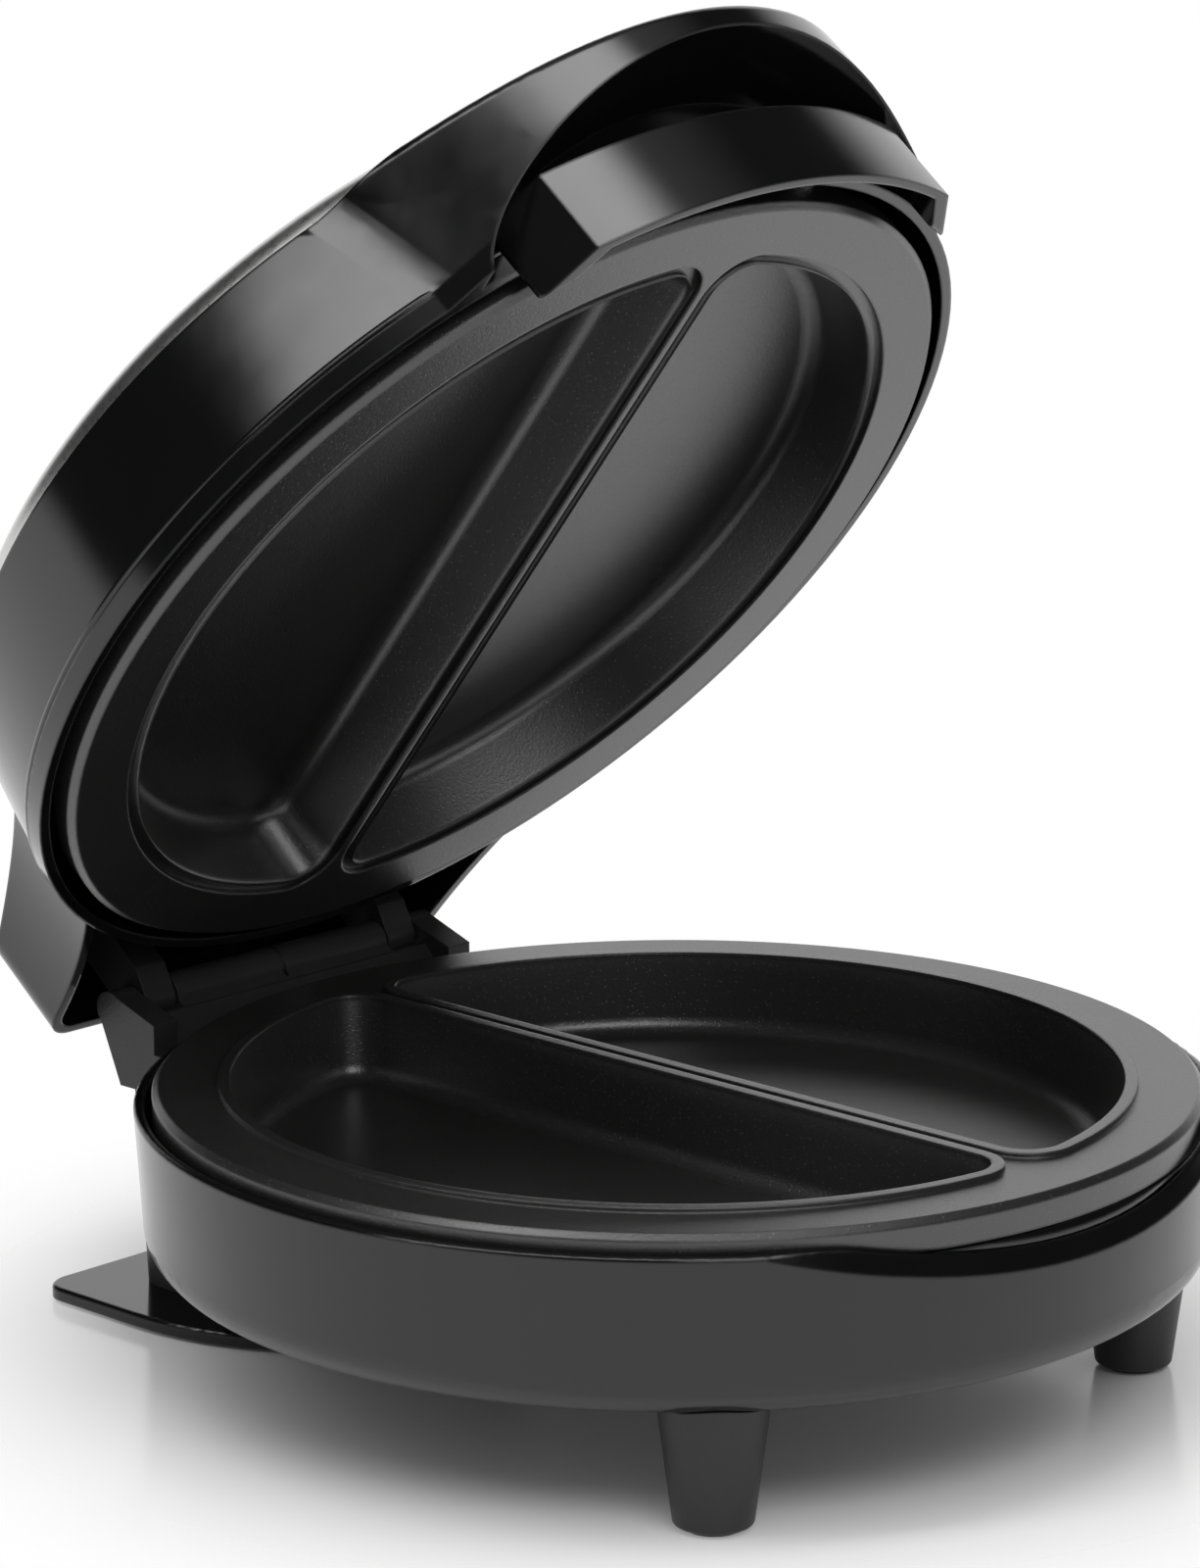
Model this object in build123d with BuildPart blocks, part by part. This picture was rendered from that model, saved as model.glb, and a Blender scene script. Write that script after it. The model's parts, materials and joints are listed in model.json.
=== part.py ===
"""Electric omelette maker: a round countertop cooker with a hinged lid.

Units are millimetres.  +Z is up, the front (handle) is towards -Y, the hinge is at the back.
Pieces are drawn round the axis of the round body.  Lid pieces are drawn closed, then swung about
the hinge to the resting, open position.  Every piece is saved with the origin on the table, under
the middle of the whole open cooker.
"""
import os
from math import cos, radians, sin, sqrt

from build123d import *

os.makedirs("parts", exist_ok=True)

# ---------------------------------------------------------------- driving dimensions
origin_y = 17.7             # from the round body's axis back to the origin

# Cast cooking plates
plate_r = 98.0              # outer radius of both plates
plate_rim_z = 57.0          # height of the lower plate's flat rim above the table
plate_gap = 0.3             # air between the two rims when the lid is closed
rim_t = 3.5                 # thickness of the flat rim
band_h = 6.0                # height of the cast side band
band_t = 2.8                # thickness of the side band
moon_r = plate_r - 14.7      # radius of the round edge of each half-moon
web_half = 3.2              # half the width of the web between the half-moons
moon_corner = 7.0           # corner radius of a half-moon, seen from above
moon_depth = 15.0           # depth of a half-moon
moon_draft = 3.0            # how far each wall leans in from rim to floor
moon_floor_r = 4.0          # fillet between wall and floor
pan_t = 2.5                 # wall of the pans under the rim
bead_w = 2.4                # width of the sealing bead round each half-moon
bead_h = 1.0                # height of the bead on the lower plate
groove_d = 1.5              # depth of the groove that takes it in the upper plate

# Heater under each plate
element_r = 52.0            # radius of the bent heating element
tube_r = 3.2                # radius of its tube
element_seat = 0.05         # air between the tube and its cast groove
element_open = 30.0         # half-angle left open at the back of the element
leg_bend_r = 9.0            # bend where the element turns into its legs
leg_end_y = plate_r - 20     # how far back the legs reach
rib_w = 10.0                # width of the cast rib that holds the element
rib_h = 3.0                 # height of that rib
reflector_r = plate_r - 10.8 # outer radius of the heat shield
reflector_t = 0.8           # its sheet thickness
reflector_depth = 28.6      # from the plate's rim to the back of the heat shield
reflector_wall = 13.0       # height of its turned-up wall

# Screws that hold each plate
post_r = plate_r - 6.5       # pitch radius of the plate posts
post_d = 8.0
post_gap_z = 11.0           # from the plate's rim to the end of a post
post_web = 6.0              # solid end of a post, under the screw head
post_count = 4
post_start = 45.0
screw_shank_d = 2.6
screw_head_d = 5.2
screw_head_h = 2.0
screw_bite = 5.0            # how far the screw enters the plate
hole_air = 0.15             # radial air round a shank or a head

# Base
base_rim_r = plate_r + 3.5
base_rim_z = plate_rim_z - 3.1
base_foot_r = base_rim_r - 1.9    # radius of the wall just above its lower bend
base_bottom_z = 23.6
base_bend_r = 8.0
wall_t = 2.2
floor_t = 2.4
base_opening_r = plate_r - 22     # hole in the floor, closed by the bottom cover
cover_r = base_opening_r + 4
cover_t = 1.4
cover_air = 0.2
cover_screw_r = base_opening_r + 2
cover_screw_l = 3.4
cover_head_d = 3.2
cover_screw_turn = 20.0
vent_l = 46.0
vent_w = 3.0
vent_pitch = 9.0
vent_count = 7
scoop_z = base_rim_z - 9.4  # lowest point of the finger scoop in the front wall
scoop_half_deg = 37.0       # half-angle that the scoop spans at the rim
scoop_slope = 0.5           # how fast the scoop leans in as it rises
scoop_liner_t = 6.0         # thickness of the wall behind the scoop
scoop_liner_drop = 6.0      # how far that thicker wall runs below the scoop
scoop_liner_deg = 4.0       # and to each side of it
scoop_cut = 40.0            # width of the ring cut away outside the scoop
shield_ring_in = 3.0        # from the heat shield's edge to the ring that carries it
shield_ring_t = 2.0
wire_slot_l = 30.0
wire_slot_w = 5.0
wire_slot_y = plate_r - 8
wire_r = 1.2
wire_bend_r = 2.5
wire_x = 9.0                # where the wires drop to the terminal block

# Feet
foot_x = 58.5
foot_y = -63.0
foot_top_r = 10.7
foot_bottom_r = 7.2
foot_clear = 0.8            # air under a foot or the foot plate, held up by its pads
pad_r = 5.5
pad_t = 1.4
foot_plate_half = 57.0
foot_plate_t = 2.5
foot_plate_corner = 6.0
rear_pad_x = 46.0

# Hinge
open_angle = 51.5           # the lid's resting position, measured from closed
barrel_r = 4.0
barrel_half = 28.5
pin_r = 1.75
pin_run = 0.06              # radial running fit of a pin in a lid knuckle
pin_press = 0.01            # radial fit of a pin where it is held
pin_skin = 1.4              # wall left outside the blind pin hole
pin_hold = 5.0              # how far a pin reaches into the barrel
hinge_side_air = 0.6
knuckle_w = 7.4
ear_r = 3.5
ear_w = 6.0
ear_front = 13.0            # how far an ear reaches in front of the hinge axis
ear_slope = 1.0             # how far its front end lies below the axis
ear_root = 8.0              # how deep an ear is rooted in the stand
ear_foot_in = 1.5           # from the stand's back to an ear's foot
fence_in = 4.5              # from the axis to the low wall in front of the knuckles
fence_t = 1.6
fence_drop = 1.5            # from the axis down to the top of that wall
line_w = 1.0                # moulding line round the middle of the barrel
line_d = 0.35

# Hinge stand
stand_lean = 3.5            # how much further back the stand is at its top
stand_top_drop = 6.8        # from the hinge axis to the top of the stand
stand_wall = 2.4
stand_corner = 8.0
seat_air = 0.1              # air between the stand or feet and the bowl
stand_screw_x = 30.0        # front pair of bosses inside the stand
stand_rear_screw_x = 35.0   # rear pair
stand_screw_in = 7.0        # from the stand's front or back to its bosses
stand_head_h = 1.2          # flat heads, sunk in the foot plate
gland_x = 26.0
gland_z = 13.5
gland_r = 5.0
gland_bore_r = 3.4
gland_flange_r = 6.8
gland_flange_t = 1.6
gland_seat = 0.2            # depth of the flat that the flange sits on
harness_r = 1.7             # bundle of wires that runs up to the lid
harness_in = 4.0            # from the end of the barrel's hollow to the bundle
harness_start = 14.0        # from the stand's front to the start of the bundle
harness_rise = 4.0          # how much higher than the gland it runs
harness_turn = 2.0          # from the stand's top down to its bend
harness_bend_r = 2.4
harness_air = 0.3
block_l = 30.0              # terminal block
block_w = 12.0
block_h = 9.0
fuse_r = 2.0                # thermal fuse
fuse_l = 16.0
fuse_x = -26.0
fuse_lead_r = 0.5
thermostat_x = 26.0
thermostat_r = 8.0
thermostat_h = 5.0

# Lid
lid_rim_h = 2.1             # the lid shell's lower edge above the upper plate's rim
lid_rim_r = plate_r + 5.3
lid_band_h = 4.2            # height of the plain band round the lower edge
lid_band_step = 0.5
lid_top_r = lid_rim_r - 4.5
lid_wall_h = 33.5           # height of the side wall
lid_shoulder_r = lid_top_r - 8.3  # where the steel top turns from its slope to its flat
lid_shoulder_h = 40.6
lid_slope_r = lid_top_r - 3.6     # middle of the slope between wall and shoulder
lid_slope_h = 38.2
lid_crown_h = 42.6
panel_t = 0.8
panel_edge_r = lid_top_r - 1.4
lid_skin = 2.0
panel_air = 0.1

# Tail of the lid, which covers the hinge
tail_half = 51.0            # half-width at the back of the tail
tail_waist = 53.6           # half-width in the hollow of its curved sides
tail_root = 64.5            # half-width where the sides run into the round wall
tail_front_in = 25.0        # from the round wall to the front end of the tail's block
tail_bottom_h = 4.0
tail_top_h = 30.0
tail_drop = 7.0             # how much lower the tail's roof is at its back
tail_corner = 7.0

# Bracket that hangs the lid on its pins
bracket_h = 19.0            # from the hinge axis to the top of the bracket
bracket_t = 2.5
bracket_front = 6.0
knuckle_r = 3.9
bracket_screw_x = 18.0

# Handle: a hood over a finger recess, with a lip below
hood_r = 71.0
hood_reach = 16.7           # how far the hood stands out in front of the lid's rim
hood_lean = 1.0             # how far its wall leans in, from bottom to top
hood_blend = 28.0           # radius of the hollow blend into the round wall
hood_front_h = 30.4         # height of the hood's roof line at its very front
hood_mid_h = 31.2
hood_mid_in = 15.0          # from the hood's front to the middle of its roof line
hood_root_in = 31.0         # from the hood's front to the root of its roof line
hood_edge_r = 2.0           # rounding of the roof's edge
arch_cut_in = 19.0          # how far the arch is cut in behind the front of the round wall
arch_half = 59.0
arch_h = 24.6
lip_r = lid_rim_r + 7.2
lip_half_deg = 24.8
lip_root_deg = 31.0
lip_low = -5.5
lip_high = 12.8
lip_t = 1.8
lip_air = 0.4               # air between the lip and the arch
lip_screw_deg = 14.0
lip_screw_h = 9.2
lip_screw_seat_r = lid_rim_r - 3.35   # where the screw heads meet the inside of the wall

# Lamps
lamp_x = 9.0
lamp_y = -46.0
lens_r = 3.2
lens_air = 0.1
lens_proud = 0.9
lens_l = 6.5
lamp_r = 2.0
lamp_l = 9.0
holder_t = 2.0
holder_air = 0.4            # between the lenses and the lamp holder

# ---------------------------------------------------------------- worked out from them
lid_z = plate_rim_z + plate_gap                  # closed height of the upper plate's rim
hinge_z = plate_rim_z + plate_gap / 2
hinge_y = lid_rim_r + 7.7
stand_front_y = base_foot_r - 21.6
stand_back_y = hinge_y - 5
foot_plate_back_y = hinge_y + 6.5
foot_plate_mid_y = hinge_y - 21
rear_pad_y = hinge_y - 3
tail_root_y = hinge_y - 35.8
tail_waist_y = hinge_y - 8
tail_back_y = hinge_y + 11.5
hood_y = hood_r - lid_rim_r - hood_reach
hinge_axis = Axis((0, hinge_y, hinge_z), (1, 0, 0))
pan_depth = moon_depth + pan_t
element_z = -pan_depth - tube_r - element_seat
knuckle_in = barrel_half + hinge_side_air
knuckle_out = knuckle_in + knuckle_w
ear_in = knuckle_out + hinge_side_air
stand_half = ear_in + ear_w
foot_plate_top = foot_clear + foot_plate_t
stand_top_z = hinge_z - stand_top_drop
plate_posts = PolarLocations(post_r, post_count, start_angle=post_start)
boss_d = post_d - 1.0
lip_seat_r = lid_rim_r + 0.05
leg_x = element_r * sin(radians(element_open)) - leg_bend_r * (1 - cos(radians(90 - element_open)))
leg_tip_y = leg_end_y + 2 * tube_r
reflector_notch = 2 * leg_x + 4 * tube_r
gland_seat_y = stand_back_y + gland_seat
stand_screw_y = stand_front_y + stand_screw_in
stand_rear_screw_y = stand_back_y - stand_screw_in
stand_front_screws = ((-stand_screw_x, stand_screw_y), (stand_screw_x, stand_screw_y))
stand_rear_screws = (
    (-stand_rear_screw_x, stand_rear_screw_y), (stand_rear_screw_x, stand_rear_screw_y)
)
bracket_screws_at = ((-bracket_screw_x, hinge_y), (bracket_screw_x, hinge_y))
lamps_at = ((-lamp_x, lamp_y), (lamp_x, lamp_y))


def half_moon(rim, web, corner):
    """One half-moon outline on the +X side, with its straight edge `web` from the middle."""
    with BuildSketch() as moon:
        Circle(rim)
        with Locations((web, 0)):
            Rectangle(2 * rim, 3 * rim, align=(Align.MIN, Align.CENTER), mode=Mode.INTERSECT)
        fillet(moon.vertices(), corner)
    return moon.sketch


def moon_pair(top_z, floor_z, grow):
    """Both half-moons as solids from top_z down to floor_z, `grow` larger all round."""
    with BuildPart() as pair:
        for turn in (0, 180):
            with BuildSketch(Plane.XY.offset(top_z)):
                add(half_moon(moon_r + grow, web_half - grow, moon_corner + grow), rotation=turn)
            with BuildSketch(Plane.XY.offset(floor_z)):
                add(
                    half_moon(moon_r + grow - moon_draft, web_half - grow + moon_draft, moon_corner),
                    rotation=turn,
                )
            loft()
    return pair.part


def moon_ring(z, height):
    """A band of the bead's width round both half-moons, from z up by `height`."""
    with BuildPart() as ring:
        with BuildSketch(Plane.XY.offset(z)):
            for turn in (0, 180):
                add(
                    half_moon(moon_r + bead_w, web_half - bead_w, moon_corner + bead_w),
                    rotation=turn,
                )
            for turn in (0, 180):
                add(half_moon(moon_r, web_half, moon_corner), rotation=turn, mode=Mode.SUBTRACT)
        extrude(amount=height)
    return ring.part


def rib_ring():
    """Plan of the rib that holds the element, left out at the back where the legs run."""
    with BuildSketch() as ring:
        Circle(element_r + rib_w / 2)
        Circle(element_r - rib_w / 2, mode=Mode.SUBTRACT)
        with Locations((0, element_r + rib_w)):
            Rectangle(reflector_notch, element_r, mode=Mode.SUBTRACT)
    return ring.sketch


def cast_plate(beaded):
    """A cooking plate, facing up, with the flat of its rim at z = 0."""
    with BuildPart() as plate:
        with BuildSketch():
            Circle(plate_r)
        extrude(amount=-rim_t)
        with BuildSketch():
            Circle(plate_r)
            Circle(plate_r - band_t, mode=Mode.SUBTRACT)
        extrude(amount=-band_h)
        outer_edge = plate.edges().group_by(Axis.Z)[-1].sort_by(SortBy.LENGTH)[-1]
        chamfer(outer_edge, 1.2)
        add(moon_pair(-rim_t / 2, -pan_depth, pan_t))
        # The rib under the pans holds the pressed-in heating element.
        with BuildSketch(Plane.XY.offset(-pan_depth)):
            add(rib_ring())
        extrude(amount=-rib_h)
        with BuildSketch(Plane.XY.offset(-pan_depth)):
            add(rib_ring())
            Rectangle(4 * (web_half + moon_draft), 3 * element_r, mode=Mode.INTERSECT)
        extrude(amount=moon_depth / 2)
        add(moon_pair(0, -moon_depth, 0), mode=Mode.SUBTRACT)
        floors = plate.edges().filter_by_position(Axis.Z, -moon_depth - 0.01, -moon_depth + 0.01)
        fillet(floors, moon_floor_r)
        if beaded:
            add(moon_ring(0, bead_h))
        else:
            add(moon_ring(-groove_d, groove_d), mode=Mode.SUBTRACT)
        with BuildSketch(Plane.XY.offset(-rim_t / 2)):
            with plate_posts:
                Circle(boss_d / 2)
        extrude(amount=rim_t / 2 - post_gap_z)
        with BuildSketch(Plane.XY.offset(-post_gap_z)):
            with plate_posts:
                Circle(screw_shank_d / 2)
        extrude(amount=screw_bite + 0.5, mode=Mode.SUBTRACT)
        with BuildSketch(Plane.XZ):
            with Locations((element_r, element_z)):
                Circle(tube_r + element_seat)
        revolve(axis=Axis.Z, mode=Mode.SUBTRACT)
    return plate.part


def heating_element():
    """The sheathed element under a plate: nearly a full circle, with two legs to the back."""
    with BuildPart() as element:
        with BuildLine(Plane.XY.offset(element_z)) as route:
            bow = CenterArc((0, 0), element_r, -90, 180 - element_open)
            bend = JernArc(bow @ 1, bow % 1, leg_bend_r, element_open - 90)
            Line(bend @ 1, ((bend @ 1).X, leg_end_y))
        with BuildSketch(Plane(origin=route.wire() @ 0, z_dir=route.wire() % 0)):
            Circle(tube_r)
        sweep(path=route.wire())
        tip = route.wire() @ 1
        with BuildSketch(Plane(origin=tip, z_dir=(0, 1, 0))):
            Circle(tube_r / 3)
        extrude(amount=leg_tip_y - leg_end_y)
        mirror(about=Plane.YZ)
    return element.part


def heat_shield():
    """The sheet-metal reflector behind an element, a shallow dish open towards the plate."""
    with BuildPart() as shield:
        with BuildSketch(Plane.XY.offset(-reflector_depth)):
            Circle(reflector_r)
        extrude(amount=reflector_wall)
        with BuildSketch(Plane.XY.offset(reflector_t - reflector_depth)):
            Circle(reflector_r - reflector_t)
        extrude(amount=reflector_wall, mode=Mode.SUBTRACT)
        with BuildSketch(Plane.XY.offset(2 - reflector_depth)):
            with Locations((0, reflector_r)):
                Rectangle(reflector_notch, 10)
        extrude(amount=reflector_wall, mode=Mode.SUBTRACT)
        dish_edge = shield.edges().group_by(Axis.Z)[0].sort_by(SortBy.LENGTH)[-1]
        fillet(dish_edge, 2 * reflector_t)
    return shield.part


def plate_screw_set():
    """The screws that pull a plate down onto its posts."""
    with BuildPart() as screws:
        with BuildSketch(Plane.XY.offset(-post_gap_z - post_web)):
            with plate_posts:
                Circle(screw_shank_d / 2 - 0.01)
        extrude(amount=post_web + screw_bite)
        with BuildSketch(Plane.XY.offset(-post_gap_z - post_web)):
            with plate_posts:
                Circle(screw_head_d / 2)
        extrude(amount=-screw_head_h)
    return screws.part


def snap_thermostat():
    """A disc thermostat on the back of a pan, with two blade terminals."""
    with BuildPart() as thermostat:
        with BuildSketch(Plane.XY.offset(-pan_depth)):
            with Locations((thermostat_x, 0)):
                Circle(thermostat_r)
        extrude(amount=-thermostat_h)
        with BuildSketch(Plane.XY.offset(-pan_depth)):
            with Locations((thermostat_x, 0)):
                SlotOverall(3 * thermostat_r, 0.75 * thermostat_r, rotation=90)
        extrude(amount=-thermostat_h / 5)
        with BuildSketch(Plane.XY.offset(-pan_depth - thermostat_h)):
            with Locations((thermostat_x, 0)):
                with GridLocations(1.25 * thermostat_r, 0, 2, 1):
                    Rectangle(0.8, 4.8)
        extrude(amount=-thermostat_h / 2)
    return thermostat.part


def lip_plan(outer, seat, half_deg, root_deg):
    """Plan of the lip: an arc between two slanted cheeks."""
    tip = radians(half_deg)
    root = radians(root_deg)
    with BuildSketch() as plan:
        with BuildLine():
            front = ThreePointArc(
                (-outer * sin(tip), -outer * cos(tip)), (0, -outer),
                (outer * sin(tip), -outer * cos(tip)),
            )
            back = ThreePointArc(
                (-seat * sin(root), -seat * cos(root)), (0, -seat),
                (seat * sin(root), -seat * cos(root)),
            )
            Line(front @ 0, back @ 0)
            Line(front @ 1, back @ 1)
        make_face()
    return plan.sketch


def lid_plan(body, hood):
    """Plan of the lid's wall: the round body, the round hood and a hollow blend on each side."""
    reach = body + hood_blend
    centre_y = (hood_y**2 + reach**2 - (hood + hood_blend) ** 2) / (2 * hood_y)
    centre = Vector(sqrt(reach**2 - centre_y**2), centre_y)
    hood_centre = Vector(0, hood_y)
    leave = centre * (body / reach)
    meet = hood_centre + (centre - hood_centre) * (hood / (hood + hood_blend))
    hollow = centre + ((leave + meet) / 2 - centre).normalized() * hood_blend
    with BuildSketch() as plan:
        with BuildLine():
            ThreePointArc((-leave.X, leave.Y), (0, body), leave)
            ThreePointArc(leave, hollow, meet)
            ThreePointArc(meet, (0, hood_y - hood), (-meet.X, meet.Y))
            ThreePointArc((-meet.X, meet.Y), (-hollow.X, hollow.Y), (-leave.X, leave.Y))
        make_face()
    return plan.sketch


def lip_screw_plane(side):
    """Plane of a lip screw's seat inside the lid's wall, facing outwards along the screw."""
    turn = radians(side * lip_screw_deg)
    return Plane(
        origin=(lip_screw_seat_r * sin(turn), -lip_screw_seat_r * cos(turn), lid_z + lip_screw_h),
        z_dir=(sin(turn), -cos(turn), 0),
    )


def save(solids, name):
    """Write one node's STEP file, measured from the origin of the finished part."""
    placed = solids.moved(Location((0, -origin_y, 0)))
    placed.label = name
    export_step(placed, f"parts/{name}.step")


def swing_open(piece):
    """Turn a piece of the closed lid about the hinge to its resting position."""
    return piece.rotate(hinge_axis, -open_angle)


# ---------------------------------------------------------------- envelopes used for fitting
with BuildPart() as bowl_envelope:
    with BuildSketch(Plane.XZ) as bowl_side:
        with BuildLine():
            Polyline(
                (0, base_bottom_z - seat_air),
                (base_foot_r + seat_air, base_bottom_z - seat_air),
                (base_rim_r + seat_air, base_rim_z),
                (base_rim_r + seat_air, plate_rim_z + 20),
                (0, plate_rim_z + 20),
                close=True,
            )
        make_face()
        fillet(bowl_side.vertices().group_by(Axis.Y)[0].sort_by(Axis.X)[-1], base_bend_r)
    revolve(axis=Axis.Z)

# ---------------------------------------------------------------- base shell
with BuildPart() as base_shell:
    with BuildSketch(Plane.XZ) as bowl_wall:
        with BuildLine():
            Polyline(
                (base_opening_r, base_bottom_z + cover_t),
                (cover_r, base_bottom_z + cover_t),
                (cover_r, base_bottom_z),
                (base_foot_r, base_bottom_z),
                (base_rim_r, base_rim_z),
                (base_rim_r - wall_t, base_rim_z),
                (base_foot_r - wall_t, base_bottom_z + floor_t),
                (base_opening_r, base_bottom_z + floor_t),
                close=True,
            )
        make_face()
        fillet(bowl_wall.vertices().group_by(Axis.Y)[0].sort_by(Axis.X)[-1], base_bend_r)
        inner_corner = bowl_wall.vertices().sort_by_distance((base_foot_r - wall_t, base_bottom_z + floor_t))
        fillet(inner_corner[0], base_bend_r - wall_t)
        fillet(bowl_wall.vertices().group_by(Axis.Y)[-1], 0.8)
    revolve(axis=Axis.Z)
    # A thicker stretch of wall at the front carries the finger scoop.
    liner_top = plate_rim_z - band_h - plate_gap
    with BuildSketch(Plane.XY.offset(scoop_z - scoop_liner_drop)):
        Circle(base_foot_r - wall_t / 2)
        Circle(base_rim_r - wall_t - scoop_liner_t, mode=Mode.SUBTRACT)
        with BuildLine():
            reach = 2 * base_rim_r
            side = radians(scoop_half_deg + scoop_liner_deg)
            Polyline(
                (0, 0), (-reach * sin(side), -reach * cos(side)),
                (reach * sin(side), -reach * cos(side)), close=True,
            )
        make_face(mode=Mode.INTERSECT)
    extrude(amount=liner_top - scoop_z + scoop_liner_drop)
    # The scoop is the outside of a cone whose axis stands behind the body's axis.
    scoop_rise = base_rim_z - scoop_z
    scoop_shift = (wall_t / 2 + scoop_slope * scoop_rise) / (1 - cos(radians(scoop_half_deg)))
    scoop_r = base_rim_r - (base_rim_r - base_foot_r) * 0.32 + scoop_shift
    with BuildSketch(Plane.XZ.offset(-scoop_shift)):
        with BuildLine():
            Polyline(
                (scoop_r, scoop_z),
                (scoop_r - 2 * scoop_slope * scoop_rise, scoop_z + 2 * scoop_rise),
                (scoop_r + scoop_cut, scoop_z + 2 * scoop_rise),
                (scoop_r + scoop_cut, scoop_z),
                close=True,
            )
        make_face()
    revolve(axis=Axis((0, scoop_shift, 0), (0, 0, 1)), mode=Mode.SUBTRACT)
    # Posts for the plate, hollow from below for their screws.
    with BuildSketch(Plane.XY.offset(base_bottom_z + floor_t / 2)):
        with plate_posts:
            Circle(post_d / 2)
    extrude(amount=plate_rim_z - post_gap_z - base_bottom_z - floor_t / 2)
    with BuildSketch(Plane.XY.offset(base_bottom_z)):
        with plate_posts:
            Circle(screw_head_d / 2 + hole_air)
    extrude(amount=plate_rim_z - post_gap_z - post_web - base_bottom_z, mode=Mode.SUBTRACT)
    with BuildSketch(Plane.XY.offset(base_bottom_z)):
        with plate_posts:
            Circle(screw_shank_d / 2 + hole_air)
    extrude(amount=plate_rim_z, mode=Mode.SUBTRACT)
    # A ring on the floor carries the heat shield.
    with BuildSketch(Plane.XY.offset(base_bottom_z + floor_t / 2)):
        Circle(reflector_r - shield_ring_in)
        Circle(reflector_r - shield_ring_in - shield_ring_t, mode=Mode.SUBTRACT)
    extrude(amount=plate_rim_z - reflector_depth - base_bottom_z - floor_t / 2)
    with BuildSketch(Plane.XY.offset(base_bottom_z)):
        with Locations((0, wire_slot_y)):
            SlotOverall(wire_slot_l, wire_slot_w)
    extrude(amount=floor_t, mode=Mode.SUBTRACT)
    cover_screws_at = PolarLocations(cover_screw_r, 4, start_angle=cover_screw_turn)
    with BuildSketch(Plane.XY.offset(base_bottom_z + cover_t)):
        with cover_screws_at:
            Circle(screw_shank_d / 2 - 0.3)
    extrude(amount=floor_t, mode=Mode.SUBTRACT)
    with BuildSketch(Plane.XY.offset(base_bottom_z)):
        with Locations(stand_front_screws):
            Circle(screw_shank_d / 2 + hole_air)
    extrude(amount=floor_t, mode=Mode.SUBTRACT)
save(base_shell.part, "base_shell")

# ---------------------------------------------------------------- base bottom cover
with BuildPart() as bottom_cover:
    with BuildSketch(Plane.XY.offset(base_bottom_z)):
        Circle(cover_r - cover_air)
    extrude(amount=cover_t - 0.02)
    with BuildSketch(Plane.XY.offset(base_bottom_z)):
        with cover_screws_at:
            Circle(screw_shank_d / 2 + hole_air)
    extrude(amount=cover_t, mode=Mode.SUBTRACT)
    with BuildSketch(Plane.XY.offset(base_bottom_z)):
        with GridLocations(0, vent_pitch, 1, vent_count):
            with Locations((0, -vent_pitch)):
                SlotOverall(vent_l, vent_w)
    extrude(amount=cover_t, mode=Mode.SUBTRACT)
save(bottom_cover.part, "bottom_cover")

with BuildPart() as cover_screws:
    with BuildSketch(Plane.XY.offset(base_bottom_z)):
        with cover_screws_at:
            Circle(cover_head_d / 2)
    extrude(amount=-screw_head_h / 2)
    with BuildSketch(Plane.XY.offset(base_bottom_z)):
        with cover_screws_at:
            Circle(screw_shank_d / 2 - 0.31)
    extrude(amount=floor_t)
save(cover_screws.part, "cover_screws")

# ---------------------------------------------------------------- hinge stand
# One moulding: a foot block under the bowl, a pillar behind it, two ears and the middle barrel.
stand_depth = stand_back_y - stand_front_y
ear_mid = ear_in + ear_w / 2
ear_foot_z = stand_top_z - ear_root
harness_x = barrel_half - pin_hold - harness_in
harness_y = stand_back_y - stand_wall - harness_r
harness_from = (harness_x, stand_front_y + harness_start, gland_z + harness_rise)

# The wires to the lid run up the pillar and into the hollow barrel.
with BuildLine() as harness_route:
    FilletPolyline(
        harness_from,
        (harness_x, harness_y, harness_from[2]),
        (harness_x, harness_y, stand_top_z - harness_turn),
        (harness_x, hinge_y, hinge_z),
        (-harness_x, hinge_y, hinge_z),
        radius=harness_bend_r,
    )

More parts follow.
